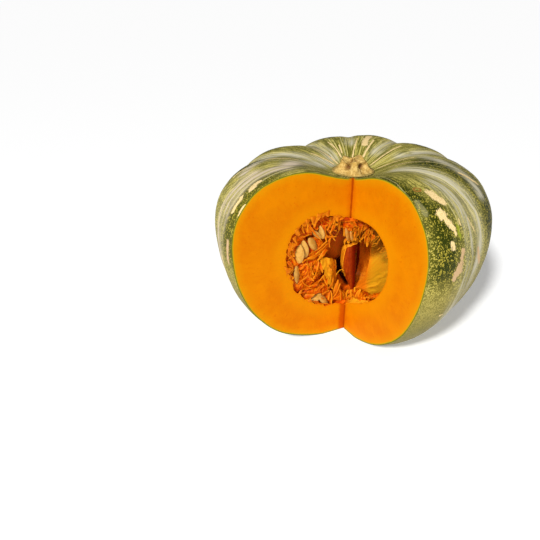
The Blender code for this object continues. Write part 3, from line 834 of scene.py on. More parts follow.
skin_colour = layered(
    ground,
    (light_mask, light),
    (between(way, 140, 180) * 0.5, shade(150, 135, 70)),
    # Painted shade: the skin darkens towards the underside and the resting spot
    (between(way, 165, 215) * 0.6, shade(104, 98, 48)),
    (between(way, 235, 262) * 0.7, shade(92, 90, 34)),
    (bloom_and_sheen, pale_colour),
    (fine_lines, shade(222, 208, 144)),
    # the scuff: bloom with a painted highlight
    (between(stored(rind_place, "scuff_sheen") + jag, 1.3, 0.6) * 0.35, shade(178, 170, 118)),
    (between(stored(rind_place, "tan") + jag, 1.2, 0.8) * 0.9, shade(206, 170, 126)),
    (buff_mask, patch_tone),
    (between(stored(rind_place, "lime") + jag * 1.4, 1.2, 0.7) * 0.7, shade(150, 158, 30)),
    (between(scar_ring, 1.35, 1.1) * between(scar_ring, 0.4, 0.8), shade(146, 104, 44)))
rind_relief = flecks * 0.25 + dashes * 0.15 + cloud(rind_place, 0.8) * 0.06 - buff_mask * 0.12
dress(rind, skin_colour, 0.46 + 0.12 * flecks, rind_relief, 0.6, Specular_IOR_Level=0.08)
print("rind nodes:", len(rind.node_tree.nodes))

# %% [markdown]
# ## The cut flesh
#
# Fresh cut flesh is bright orange and moist. It is yellower in two rings, under the skin and
# round the hollow, and a thin green line is the rind seen edge on. Fibres run through it
# from the hollow to the skin, and show as faint streaks and dots. The crease is painted
# darker, as shade where two wet faces meet.

# %% The flesh's finish
under_skin, from_hollow, crease_gap, spoke = [stored(flesh_place, name) for name in
                                              ("under_skin", "from_hollow", "from_crease", "spoke")]
patches = cloud(flesh_place, 30, 3, 0.55)
grain = cloud(scaled(flesh_place, 1, 1, 0.5), 1.4, 3, 0.6)
streaks = cloud(stretched(spoke / 2.2, from_hollow / 16, 3.0), 1.0, 3, 0.6)
edge_wander = (cloud(flesh_place, 9, 3) - 0.5) * 7
crease_wander = (cloud(flesh_place, 5, 3) - 0.5) * 1.6
low_band = (between(crease_gap + crease_wander, 7.5, 3.5)
            * between(one_axis(flesh_place, "Z"), 50, 36)
            * between(one_axis(flesh_place, "X"), CREASE.x, CREASE.x - 0.8))
flesh_colour = layered(
    shade(202, 118, 0),
    (between(patches, 0.3, 0.7), shade(196, 108, 0)),
    (between(streaks, 0.5, 0.68) * 0.3, shade(193, 99, 0)),
    (between(grain, 0.45, 0.7) * 0.15, shade(209, 134, 11)),
    (between(cloud(flesh_place, 11, 3), 0.45, 0.7) * 0.35, shade(212, 126, 0)),
    (between(cloud(flesh_place, 2.4, 1), 0.66, 0.74) * 0.4, shade(188, 88, 0)),
    (between(under_skin + edge_wander, 9, 1.5) * 0.6, shade(203, 134, 4)),
    (between(from_hollow + edge_wander, 16, 4) * 0.6, shade(207, 130, 2)),
    (between(from_hollow + edge_wander * 0.5, 2.2, 0.2) * 0.25, shade(191, 88, 4)),
    (between(under_skin + edge_wander * 0.1, 1.9, 0.9), shade(173, 147, 18)),
    (between(under_skin + edge_wander * 0.05, 0.9, 0.5), shade(99, 104, 27)),
    # Painted shade: the crease darkens where the two cut faces meet
    (between(crease_gap + crease_wander * 3, 7, 0.5) * 0.4, shade(185, 78, 0)),
    (between(crease_gap + crease_wander, 1.7, 0.4) * 0.8, shade(151, 52, 2)),
    (low_band * 0.75, shade(174, 66, 0)))
flesh_relief = cloud(flesh_place, 6, 3) * 0.3 + grain * 0.08 + streaks * 0.1
dress(flesh, flesh_colour, 0.5 + 0.1 * grain, flesh_relief, 0.5, Specular_IOR_Level=0.02)
print("flesh nodes:", len(flesh.node_tree.nodes))

# %% [markdown]
# ## The hollow's wall
#
# Inside, the wall is smooth where pulp has come away: golden on the right, brown towards
# the back, and painted nearly black as shadow in its deepest pocket and along the gap behind
# the membrane. Each vertex stores how open it lies, and shade is painted darker where it
# lies shut in.

# %% Measure the wall
WALL_REACH = 60
GOLDEN_BLEND = 1.2
# Painted shadows in the deepest pocket and behind the membrane: half width, start and end
PAINTED_SHADOWS = ((8.0, (-1.2, 37.2, 34.8), (2.0, 40, 38)), (3.2, (0, 35, 32), (6, 14, 26)),
          (6.0, (17, 50, 60), (16.5, 49.6, 47.7)), (6.0, (16.5, 49.6, 47.7), (11.9, 19.4, 31.4)))
wall_verts = set()
for face in fruit.data.polygons:
    if face.material_index == 2:
        wall_verts.update(face.vertices)
aside = (places - np.array(SEAM_FRONT)) @ np.array(SEAM_NORMAL)
painted_shadow = np.full(len(places), FAR)
for half_width, start, end in PAINTED_SHADOWS:
    painted_shadow = np.minimum(painted_shadow, line_distance(places, start, end) / half_width)
paint(fruit, "open", openness_of(fruit, tree_of(fruit), WALL_REACH, sorted(wall_verts)))
paint(fruit, "golden", 1 / (1 + np.exp(-aside / GOLDEN_BLEND)))
paint(fruit, "painted_shadow", np.exp(-painted_shadow ** 2))
print(len(wall_verts), "vertices on the hollow's wall")

# %% The wall's finish
fan = stored(wall_place, "azimuth")
rise = one_axis(wall_place, "Z")
strands = cloud(stretched(fan * 0.9, rise * 0.12, 2.0), 2.4, 4, 0.6)
mottle = cloud(wall_place, 11, 3)
right_wall = mixed(between(rise, 40, 62), shade(212, 151, 20), shade(208, 160, 44))
back_wall = mixed(between(fan, 165, 120), shade(252, 102, 8), shade(232, 114, 10))
wall_colour = layered(
    back_wall,
    (stored(wall_place, "golden"), right_wall),
    (between(strands, 0.45, 0.65) * 0.35, shade(206, 112, 12)),
    (between(mottle, 0.45, 0.7) * 0.3, shade(222, 130, 16)),
    # Painted shade: the wall turns dark brown where it lies shut in
    (between(stored(wall_place, "open"), 0.12, 0.0) * 0.25, shade(130, 40, 4)),
    # Painted shadow: near black in the deepest pocket and in the gap behind the membrane
    (between(stored(wall_place, "painted_shadow"), 0.15, 0.7), shade(52, 6, 2)))
dress(wall, wall_colour, 0.36 + 0.2 * mottle, strands * 0.2 + cloud(wall_place, 1.2) * 0.06,
      0.7, Specular_IOR_Level=0.08)
print("wall nodes:", len(wall.node_tree.nodes))

# %% [markdown]
# ## The stem
#
# The stem was broken off short. It is corky, with five ridges that run down into a flared
# foot, deep pits between them, and a frill of nubs where it sits on the fruit.

# %% Shape the stem
STEM_SEAT = WIDEST_HEIGHT + crown_height(SEAT_RADIUS) + 0.3
STEM_HEIGHT = 9.5
STEM_FOOT, STEM_NECK = 16.6, 8.8
STEM_SIDESTEP = 1.6
STEM_REACH = 6
# Pits: azimuth, share of the height, depth
STEM_PITS = ((-38, 0.52, 1.0), (40, 0.6, 1.15), (-108, 0.5, 0.7), (108, 0.55, 0.8),
             (180, 0.5, 0.9), (-20, 0.72, 0.4))
# A stand-in disc is spun first: its rim becomes the stem's side, its top the broken end
DISC_RADIUS, SEAT_RING, SIDE_STEPS, TOP_STEPS = 30.0, 8.0, 44, 14
STEM_STEPS = 150


def stem_place(azimuth, share, inward):
    """A point on the stem's side, or on its top where inward is above 0."""
    turn = math.radians(azimuth)
    ridge = math.cos(5 * turn)
    radius = STEM_NECK + (STEM_FOOT - STEM_NECK) * (1 - share) ** 2.4 + 1.2 * share ** 3
    radius *= 1 + 0.24 * ridge * math.sin(math.pi * min(1, share * 0.95))
    pit = 0
    for pit_azimuth, pit_share, depth in STEM_PITS:
        aside = (azimuth - pit_azimuth + 180) % 360 - 180
        pit = max(pit, depth * math.exp(-(aside / 17) ** 2 - ((share - pit_share) / 0.17) ** 2))
    radius -= 2.4 * pit * (1 - inward)
    nubs = math.exp(-(share / 0.06) ** 2)
    frill = abs(math.sin(turn * 19 + 2 * math.sin(turn * 3)))
    radius += nubs * (1.5 * frill - 0.5)
    height = STEM_HEIGHT * share + nubs * 0.5 * frill
    height += 0.5 * math.sin(3 * turn + 0.7) * share ** 4 + 0.9 * ridge * share ** 4
    radius *= 1 - inward
    height -= 1.4 * math.sin(math.pi * min(1, inward * 1.1)) * (1 - 0.4 * ridge)
    place = direction(azimuth) * radius + UP * (STEM_SEAT + height)
    rough = 1.0 * noise.noise(place / 2.9) + 0.5 * noise.noise(place / 1.2)
    outward = (direction(azimuth) * (1 - inward) + UP * (0.3 + inward)).normalized()
    place += outward * rough * min(1, share * 8)
    place.x += STEM_SIDESTEP
    return place, pit * (1 - inward)


stem_profile = [(0.0, 0.0), (SEAT_RING, 0.0)]
stem_profile += [(DISC_RADIUS, step / SIDE_STEPS) for step in range(SIDE_STEPS + 1)]
stem_profile += [(DISC_RADIUS * (1 - step / TOP_STEPS), 2.0) for step in range(1, TOP_STEPS + 1)]
stem_data = spun(stem_profile, STEM_STEPS)
pits = []
for vert in stem_data.verts:
    radius = math.hypot(vert.co.x, vert.co.y)
    if vert.co.z > 1.5:
        vert.co, pit = stem_place(azimuth_of(vert.co), 1.0, 1 - radius / DISC_RADIUS)
    elif radius > DISC_RADIUS - 1:
        vert.co, pit = stem_place(azimuth_of(vert.co), vert.co.z, 0.0)
    else:
        vert.co, pit = Vector((vert.co.x + STEM_SIDESTEP, vert.co.y, STEM_SEAT)), 0
    pits.append(pit)
cork, cork_place = new_material("cork")
stem = object_from(stem_data, "stump", [cork])
paint(stem, "pit", pits)
paint(stem, "open", openness_of(stem, tree_of(stem), STEM_REACH))
print("the stem is", round(max(vert.co.z for vert in stem.data.vertices) - STEM_SEAT, 1),
      "mm tall")

# %% The cork's finish
fibres = cloud(scaled(cork_place, 1, 1, 0.3), 0.9, 4, 0.65)
lumps = cloud(cork_place, 3.2, 3, 0.6)
# Painted shadow: a dark line round the stem's foot, under its frill of nubs
foot_shadow = between(one_axis(cork_place, "Z"), STEM_SEAT + 1.2, STEM_SEAT + 0.2)
cork_colour = layered(
    shade(186, 148, 68),
    (between(lumps, 0.35, 0.65), shade(214, 180, 104)),
    (between(fibres, 0.48, 0.66) * 0.6, shade(142, 104, 36)),
    # Painted shade: the cork turns brown in its crevices
    (between(stored(cork_place, "open"), 0.85, 0.45) * 0.8, shade(126, 84, 20)),
    (between(stored(cork_place, "pit"), 0.35, 1.0) * 0.85, shade(112, 66, 14)),
    (foot_shadow * 0.75, shade(112, 100, 34)))
dress(cork, cork_colour, 0.78, fibres * 0.5 + lumps * 0.3, 0.8)

# %% [markdown]
# ## The pulp
#
# Pulp is a wet tangle of torn membranes and fibres round the seeds. Each bunch is made in two
# layers. Egg-shaped cores, melted together by a voxel remesh, are the soft mass, with beds
# pressed into it for the seeds. Leaves of membrane, torn to points, stand out of it: some
# are seen flat and some edge on, as the walls between two seeds are. Tips are thin and let
# light through, and that light is painted on them in yellow; shade is painted deep red in
# the crevices.

# %% Sheets and torn leaves


def new_sheets():
    """An empty bmesh whose vertices store how near a torn edge and how golden they are."""
    mesh_data = bmesh.new()
    layers = [mesh_data.verts.layers.float.new(name) for name in ("tip", "gold")]
    return mesh_data, layers


def along_path(path, share):
    """A place on a list of places, at a share of its count of steps."""
    step = share * (len(path) - 1)
    low = min(int(step), len(path) - 2)
    return Vector(path[low]).lerp(Vector(path[low + 1]), step - low)


def add_sheet(sheets, one_edge, other_edge, steps=(2, 5), crinkle=0.4, bright=1.0,
              gold=(0.0, 0.0), belly=0.0):
    """A membrane between two edges, from its root at the first places to its torn end."""
    mesh_data, (tip_layer, gold_layer) = sheets
    made = bmesh.ops.create_grid(mesh_data, x_segments=steps[0], y_segments=steps[1], size=0.5)
    facing = (Vector(other_edge[0]) - Vector(one_edge[0])).cross(
        Vector(one_edge[-1]) - Vector(one_edge[0])).normalized()
    for vert in made["verts"]:
        across, along = vert.co.x + 0.5, vert.co.y + 0.5
        place = along_path(one_edge, along).lerp(along_path(other_edge, along), across)
        place += facing * belly * math.sin(math.pi * across)
        vert.co = place + noise.noise_vector(place / 2.8) * crinkle
        # The tip number paints light on the torn rim: thin edges are coloured as if lit through
        rim = max(along ** 3, abs(2 * across - 1) ** 4 * 0.8)
        vert[tip_layer] = bright * rim
        vert[gold_layer] = gold[0] + (gold[1] - gold[0]) * across


def add_leaf(sheets, root, tip, width, roll, into, blunt=0.12, **looks):
    """A torn leaf from root to tip. Roll 0 shows its flat side, 90 its edge."""
    reach = tip - root
    flat = reach.cross(into).normalized()
    side = Matrix.Rotation(math.radians(roll), 3, reach.normalized()) @ flat
    bow = Vector([draw.uniform(-1, 1) for _ in range(3)]) * reach.length * 0.09
    edges = [], []
    for step in range(7):
        share = step / 6
        half = width / 2 * (blunt + (1 - blunt) * (1 - share) ** 0.8)
        spine = root + reach * share + bow * math.sin(math.pi * share)
        for edge, sign in zip(edges, (-1, 1)):
            ragged = 1 + 0.9 * noise.noise(spine / 2.4 + side * sign * 5)
            edge.append(spine + side * sign * half * ragged)
    add_sheet(sheets, *edges, (3, 7), belly=draw.uniform(-0.2, 0.2) * width, **looks)


def add_leaves(sheets, table, placed, into, **looks):
    """Adds the leaves of a table of (root, tip, width, roll)."""
    for root, tip, width, roll in table:
        add_leaf(sheets, placed(*root), placed(*tip), width, roll, into, **looks)


def thickened(piece, thickness):
    """Gives a sheet its thickness and rounds it."""
    thick = piece.modifiers.new("thick", "SOLIDIFY")
    thick.thickness, thick.offset = thickness, 0
    soft = piece.modifiers.new("soft", "SUBSURF")
    soft.levels = soft.render_levels = 1
    return settle(piece)


def sheets_object(sheets, name, material, thickness=0.32):
    return thickened(object_from(sheets[0], name, [material]), thickness)


print("sheet tools ready")

# %% Places as the camera sees them
CAMERA_PLACE = camera.location / MM


def seen_behind(on_cut, into, depth):
    """The place at a depth behind a cut that the camera sees at a place on the cut."""
    sight = on_cut - CAMERA_PLACE
    return on_cut + sight * (depth / sight.dot(into))


def seen_left(along, height, depth):
    return seen_behind(behind_left(along, height, 0), LEFT_INTO, depth)


def seen_right(along, height, depth):
    return seen_behind(behind_right(along, height, 0), RIGHT_INTO, depth)


print("5 mm behind the left cut the sight line moves on by",
      round((seen_left(30, 70, 5) - behind_left(30, 70, 5)).length, 1), "mm")

# %% Cores that melt together
VOXEL = 0.6
WRINKLE_HEIGHT = 1.5


def add_core(mesh_data, centre, radii, axes, lumpiness=1.6):
    """An egg-shaped core, added to the bunch's mesh."""
    core = bmesh.new()
    bmesh.ops.create_uvsphere(core, u_segments=24, v_segments=16, radius=1)
    core_turn = Matrix(axes).transposed().to_4x4()
    size = Matrix.Diagonal((*radii, 1))
    bmesh.ops.transform(core, matrix=Matrix.Translation(centre) @ core_turn @ size,
                        verts=core.verts[:])
    for vert in core.verts:
        vert.co += (vert.co - centre).normalized() * lumpiness * noise.noise(vert.co / 5)
    bmesh.ops.recalc_face_normals(core, faces=core.faces[:])
    ready = bpy.data.meshes.new("core")
    core.to_mesh(ready)
    core.free()
    mesh_data.from_mesh(ready)
    bpy.data.meshes.remove(ready)


def melt(mesh_data, name):
    """Joins cores into one skin."""
    bunch = object_from(mesh_data, name, [pulp])
    remesh = bunch.modifiers.new("melt", "REMESH")
    remesh.mode = "VOXEL"
    remesh.voxel_size = VOXEL
    soften = bunch.modifiers.new("soften", "SMOOTH")
    soften.factor, soften.iterations = 0.5, 3
    settle(bunch)
    if not bunch.data.materials:
        bunch.data.materials.append(pulp)
    return bunch


def wrinkle(bunch, fibre_place, height=1.0):
    """Raises wrinkles along the fibres, and stores how high each vertex lies on them."""
    places, normals = corners(bunch), normals_of(bunch)
    ridges, red = np.zeros(len(places)), np.zeros(len(places))
    for index, place in enumerate(places):
        place = Vector(place)
        fibre = 1 - 2 * abs(noise.noise(fibre_place(place)))
        fine = 1 - 2 * abs(noise.noise(place / 5))
        ridges[index] = 0.6 * fibre ** 2 + 0.4 * fine ** 2
        red[index] = noise.noise(place / 5) + 0.25 * noise.noise(place / 2)
    paint(bunch, "gold", np.clip(-1.8 * (red - 0.02), -1, 0))
    lift = height * WRINKLE_HEIGHT * (ridges - 0.6)
    bunch.data.vertices.foreach_set("co", (places + normals * lift[:, None]).ravel())
    bunch.data.update()
    paint(bunch, "ridge", ridges)


def keep_inside(bunch):
    """Trims a bunch to the hollow it lies in."""
    limit = pulp_limit.copy()
    limit.data = pulp_limit.data.copy()
    scene.collection.objects.link(limit)
    combine(bunch, "INTERSECT", limit)


LIMIT_STEPS, LIMIT_POINTS, LIMIT_INSET = 96, 24, -0.3
pulp, pulp_place = new_material("wet_pulp")
pulp_limit = cavity("pulp_limit", LIMIT_STEPS, LIMIT_POINTS, inset=LIMIT_INSET, relief=False)
print("pulp stays inside a hollow of", len(pulp_limit.data.polygons), "faces")

# %% [markdown]
# ## The seeds
#
# The seeds are flat cream teardrops with a thin raised rim. Eight lie in the left bunch, two
# hang behind the crease and two lie on the floor. They are placed first, because the pulp
# gets its beds from them.

# %% Shape a seed
SEED_LENGTH, SEED_WIDTH, SEED_THICKNESS = 16.8, 7.8, 3.1


def add_seed(mesh_data, centre, pointed, facing, length):
    """Rounded at one end, drawn to a point towards the other."""
    made = bmesh.ops.create_uvsphere(mesh_data, u_segments=32, v_segments=24, radius=1)
    along = pointed.normalized()
    sideways = facing.cross(along).normalized()
    outward = along.cross(sideways)
    shrink = length / SEED_LENGTH
    rims = {}
    for vert in made["verts"]:
        x, y, z = vert.co
        taper = 1 - 0.42 * max(0, z) ** 1.5
        rim = abs(x) / max(0.02, math.sqrt(max(0, 1 - z * z)))
        rims[vert] = rim
        bulge = 1 - 0.25 * math.exp(-((rim - 0.82) / 0.1) ** 2)
        flat = math.copysign(abs(y) ** 0.8, y)
        vert.co = (centre + sideways * x * taper * shrink ** 0.5 * SEED_WIDTH / 2
                   + outward * flat * bulge * taper * SEED_THICKNESS / 2
                   + along * z * length / 2)
    return rims


def seeds_object(name, seeds, film):
    """Seeds as (middle, pointed, facing, length); film is the share of pulp that covers them."""
    mesh_data = bmesh.new()
    rim_of = {}
    for seed in seeds:
        rim_of.update(add_seed(mesh_data, *seed))
    rims = [rim_of[vert] for vert in mesh_data.verts]
    bmesh.ops.recalc_face_normals(mesh_data, faces=mesh_data.faces[:])
    piece = object_from(mesh_data, name, [seed_coat])
    paint(piece, "rim", rims)
    paint(piece, "film", [film] * len(rims))
    return piece


seed_coat, seed_place = new_material("seed_coat")
print("a seed is", SEED_LENGTH, "mm long")

# %% Place the seeds
# Middle (along, height, depth), the pointed end's turn from upright, roll and length
LEFT_SEEDS = (
    (46.9, 83.0, 3.2, 2, 34, 16.8), (42.8, 86.4, 5.6, -6, 38, 16.4),
    (34.9, 89.0, 4.6, 147, 22, 15.2), (49.1, 64.8, 3.4, 176, 30, 16.8),
    (27.2, 98.0, 4.2, -13, 74, 12.5), (32.0, 97.2, 5.6, -42, 62, 13.0),
    (30.8, 38.6, 5.0, 68, 44, 13.0), (22.6, 34.8, 3.6, 133, 40, 13.0),
)
left_seed_places = []
for along, height, depth, lean, roll, length in LEFT_SEEDS:
    angle, rolled = math.radians(lean), math.radians(roll)
    pointed = UP * math.cos(angle) - LEFT_ALONG * math.sin(angle)
    side = LEFT_ALONG * math.cos(angle) + UP * math.sin(angle)
    facing = -LEFT_INTO * math.cos(rolled) + side * math.sin(rolled)
    left_seed_places.append((seen_left(along, height, depth), pointed, facing, length))
roof_seed_places = [
    (Vector((-1.0, -10.5, 88.6)), Vector((-0.28, 0, 1)), Vector((0.95, -0.42, 0)), 12.5),
    (Vector((2.8, -8.5, 86.6)), Vector((-0.25, 0, 1)), Vector((0.97, -0.3, 0)), 10.5)]
floor_seed_places = []
for along, height, depth, lean in ((15, 33.5, 9, 70), (33, 45.5, 12, 60)):
    angle = math.radians(lean)
    pointed = UP * math.cos(angle) + RIGHT_ALONG * math.sin(angle)
    floor_seed_places.append((behind_right(along, height, depth), pointed,
                              UP * 0.8 - RIGHT_INTO, 13.0))
left_seeds = seeds_object("left_seeds", left_seed_places, 0.0)
roof_seeds = seeds_object("roof_seeds", roof_seed_places, 0.8)
floor_seeds = seeds_object("floor_seeds", floor_seed_places, 0.4)
print(len(LEFT_SEEDS), "seeds lie on the left, two hang, two lie on the floor")

# %% [markdown]
# ## The left bunch
#
# Behind the left cut the hollow is packed to the knife's plane. Its cores leave room for
# the seeds and for pockets where seeds have fallen out. Leaves grow from the rim towards the
# middle, like spokes, and smaller ones stand up all over the mass.

# %% The mass of the left bunch
AXES_LEFT = (LEFT_ALONG, LEFT_INTO, UP)
BUNCH_MIDDLE = Vector((30, 72, 0))
BED_MARGIN, BED_DEPTH, BED_LIFT = 0.5, 3.0, 1.2
# Cores: middle behind the cut (along, height, depth), half sizes along, behind and up
LEFT_CORES = (
    ((50, 73, 13), (18, 9.8, 33)), ((33, 64, 12), (15, 8.8, 21)), ((33, 102, 12), (19, 8.6, 10)),
    ((25, 40, 12), (17, 8.6, 11)), ((45, 54, 11), (11, 8.4, 14)), ((40, 66, 9), (10, 6.5, 11)),
    ((27, 82, 12), (9, 7.5, 9)), ((18, 100, 12), (7, 7, 8)), ((6, 31, 9), (11, 7, 5)),
)
# Pockets: middle, half sizes along, behind and up, turn
POCKETS = (
    ((38.1, 46.9, 2.0), (5.4, 4.2, 2.9), 8), ((20.6, 38.6, 2.0), (3.6, 3.6, 3.9), 0),
    ((22.0, 109.0, 3.0), (2.2, 4.5, 3.4), -20), ((15.7, 107.0, 3.0), (1.8, 4.5, 2.9), -30),
    ((42.2, 102.0, 2.5), (3.6, 4.0, 2.8), 20), ((28.2, 104.4, 3.0), (2.9, 5.0, 2.3), 0),
    ((34.3, 104.2, 3.0), (2.4, 4.4, 2.0), 10), ((42.2, 66.7, 2.5), (2.0, 3.4, 2.8), 10),
    ((32.5, 67.1, 2.5), (2.2, 3.6, 2.4), 0), ((30.0, 60.5, 3.0), (1.6, 3.4, 2.8), 0),
    ((53.6, 76.2, 2.0), (2.2, 3.4, 3.4), 0), ((37.5, 76.8, 3.0), (3.6, 3.6, 1.7), -20),
    ((29.5, 90.0, 3.5), (2.0, 4.2, 2.6), -30), ((45.0, 73.0, 3.0), (2.6, 3.4, 2.0), 0),
    ((57.2, 78.0, 1.0), (1.5, 4.0, 5.5), 12),
)


def left_fibre_place(place):
    """Noise places drawn out along the spokes of the left bunch."""
    from_crease = place - CREASE
    along = from_crease.dot(LEFT_ALONG) - BUNCH_MIDDLE.x
    height = place.z - BUNCH_MIDDLE.y
    turn = math.atan2(height, along)
    return Vector((turn * 7, math.hypot(along, height) / 9, from_crease.dot(LEFT_INTO) / 2.5))


left_data = bmesh.new()
for place, radii in LEFT_CORES:
    add_core(left_data, behind_left(*place), radii, AXES_LEFT)
left_pulp = melt(left_data, "left_pulp")
bed_data = bmesh.new()
for (along, height, depth), radii, lean in POCKETS:
    turned = Matrix.Rotation(math.radians(lean), 3, LEFT_INTO)
    add_core(bed_data, seen_left(along, height, depth), radii,
             [turned @ axis for axis in AXES_LEFT], 0.7)
for middle, pointed, facing, length in left_seed_places:
    sideways = facing.cross(pointed).normalized()
    axes = (sideways, pointed.cross(sideways), pointed)
    bed_size = (SEED_WIDTH / 2 + BED_MARGIN, BED_DEPTH, length / 2 + BED_MARGIN)
    add_core(bed_data, middle - LEFT_INTO * BED_LIFT, bed_size, axes, 0.3)
combine(left_pulp, "DIFFERENCE", melt(bed_data, "beds"))
keep_inside(left_pulp)
wrinkle(left_pulp, left_fibre_place, 0.9)
print("the left mass has", len(left_pulp.data.polygons), "faces")

# %% The drawn leaves of the left bunch
# Root and tip as (along, height, depth), width, roll
LEFT_LEAVES = (
    ((38.6, 105.0, 1.2), (41.2, 111.2, -0.2), 3.4, 20), ((39.8, 107.6, 0.8), (26.6, 90.6, 1.6), 2.0, 30),
    ((47.6, 97.4, 1.2), (38.2, 98.4, 1.6), 2.2, 20), ((25.2, 104.0, 3.0), (21.7, 88.6, 2.0), 4.2, 35),
    ((18.6, 105.4, 2.0), (22.2, 98.2, 1.0), 2.4, 20), ((15.0, 101.6, 2.5), (19.4, 95.2, 1.0), 2.4, 20),
    ((22.4, 93.6, 3.0), (12.6, 91.6, 1.4), 2.6, 15), ((22.0, 100.4, 3.0), (13.6, 87.4, 2.0), 2.2, 30),
    ((18.0, 98.6, 3.5), (12.4, 96.0, 2.0), 1.8, 20), ((38.6, 79.6, 1.8), (29.6, 83.6, 1.2), 2.8, 30),
    ((30.6, 82.4, 2.2), (21.6, 89.6, 1.6), 3.2, 15), ((20.0, 85.4, 2.6), (31.6, 79.4, 1.0), 5.4, -15),
    ((27.6, 80.6, 2.6), (39.6, 77.4, 1.0), 3.6, 25), ((21.4, 82.0, 2.2), (30.0, 73.6, 1.0), 4.2, 20),
    ((33.0, 77.0, 3.0), (44.6, 74.4, 1.4), 2.4, 40), ((29.0, 44.0, 2.0), (22.2, 49.4, 1.0), 4.2, 10),
    ((44.4, 58.6, 2.2), (36.4, 50.8, 0.6), 2.0, 60), ((28.0, 53.6, 2.2), (37.6, 50.8, 0.6), 2.0, 60),
    ((37.0, 73.0, 3.0), (33.0, 60.6, 1.6), 3.2, 20), ((47.4, 55.0, 2.6), (38.0, 62.0, 1.6), 3.4, 20),
    ((35.6, 57.6, 3.0), (36.8, 69.4, 1.6), 3.0, 25), ((44.0, 61.0, 3.0), (47.6, 70.0, 1.2), 2.6, 30),
    ((33.6, 49.2, 2.0), (44.4, 49.6, 0.8), 1.6, 50), ((24.8, 40.8, 2.0), (17.2, 43.4, 0.8), 2.4, 60),
    ((24.6, 37.4, 2.0), (20.2, 33.6, 0.8), 2.2, 60), ((16.6, 42.6, 2.6), (17.4, 33.2, 1.0), 2.6, 50),
    ((26.8, 33.4, 2.6), (35.6, 37.0, 0.6), 2.2, 30), ((31.0, 33.0, 1.6), (17.0, 29.4, 0.4), 2.4, 20),
    ((57.8, 86.0, -0.1), (50.4, 76.0, 1.4), 2.6, 10), ((58.0, 79.0, 0.2), (52.8, 72.0, 1.6), 3.2, 15),
    ((55.6, 70.0, 0.4), (54.0, 60.6, 1.6), 3.4, 10),
)
LEFT_RIM = ((8.7, 106.0), (13.8, 109.5), (22.2, 112.9), (31, 113.9), (40.9, 109.8), (49.3, 104.3),
            (53, 93.8), (56.8, 87), (59.6, 77.3), (57.1, 66.8), (52.2, 54.2), (41.5, 43.9),
            (34.2, 35.6), (24.6, 30.9), (14.2, 29.6))
print(len(LEFT_LEAVES), "leaves are drawn one by one")

# %% More leaves and fibres at random
# Each bunch draws its random numbers from a source of its own
draw = random.Random(11)
# Pockets that no leaf may cover: along, height, radius
BARE_POCKETS = ((38.1, 46.9, 6.0), (20.6, 38.6, 4.0), (22.0, 109.0, 2.6), (28.2, 104.4, 3.0),
                (57.2, 78.0, 3.0))
SEED_MARGIN = 3.4
RIM_LEAVES, INNER_LEAVES = 38, 46


def clear_of_seeds(place):
    """True where a place is over none of the left bunch's bare seeds and pockets."""
    for along, height, radius in BARE_POCKETS:
        gap = place - seen_left(along, height, 2)
        if (gap - LEFT_INTO * gap.dot(LEFT_INTO)).length < radius:
            return False
    for middle, pointed, facing, length in left_seed_places:
        gap = place - middle
        gap -= LEFT_INTO * gap.dot(LEFT_INTO)
        along = max(-length / 2, min(length / 2, gap.dot(pointed)))
        if (gap - pointed * along).length < SEED_MARGIN:
            return False
    return True


def random_left_leaf(root, tip, width, roll, **looks):
    """Adds a leaf where it hides no seed."""
    places = [seen_left(*root).lerp(seen_left(*tip), share) for share in (0.3, 0.65, 1)]
    if all(clear_of_seeds(place) for place in places):
        add_leaves(left_sheets, [(root, tip, width, roll)], seen_left, LEFT_INTO, **looks)


def rim_start(step, steps, jitter):
    """A share of the way round the hollow's rim on the left cut, its place, inward and aside."""
    share = (step + draw.uniform(-jitter, jitter)) / steps % 1
    rim = along_path([(*place, 0) for place in LEFT_RIM], share)
    inward = (BUNCH_MIDDLE - rim).normalized()
    return share, rim, inward, Vector((-inward.y, inward.x, 0))


left_sheets = new_sheets()
add_leaves(left_sheets, LEFT_LEAVES, seen_left, LEFT_INTO, blunt=0.3)
for step in range(RIM_LEAVES):
    share, rim, inward, aside = rim_start(step, RIM_LEAVES, 0.6)
    aside *= draw.uniform(-0.6, 0.6)
    reach = draw.uniform(7, 14) * (0.55 if 0.45 < share < 0.75 else 1)
    root = rim + inward * draw.uniform(-1.0, 2.5) + Vector((0, 0, draw.uniform(0.8, 4.0)))
    tip = root + (inward + aside) * reach
    tip.z = draw.uniform(0.5, 3.0)
    edge_on = draw.random() < 0.25
    random_left_leaf(root, tip, draw.uniform(4, 7) if edge_on else draw.uniform(5.0, 9.0),
                     draw.uniform(60, 100) if edge_on else draw.uniform(-35, 35), gold=(0.2, 0.2))
for _ in range(INNER_LEAVES):
    root = Vector((draw.uniform(12, 54), draw.uniform(33, 110), draw.uniform(4, 6.5)))
    spread = draw.uniform(0, math.tau)
    reach = draw.uniform(5, 11)
    tip = root + Vector((math.cos(spread), math.sin(spread), 0)) * reach
    tip.z = draw.uniform(0.8, 3.0)
    if ((root.x - 34) / 24) ** 2 + ((root.y - 72) / 40) ** 2 < 1:
        random_left_leaf(root, tip, draw.uniform(3.0, 7.0), draw.uniform(-60, 60))
print("leaves so far:", len(left_sheets[0].faces) // 10)

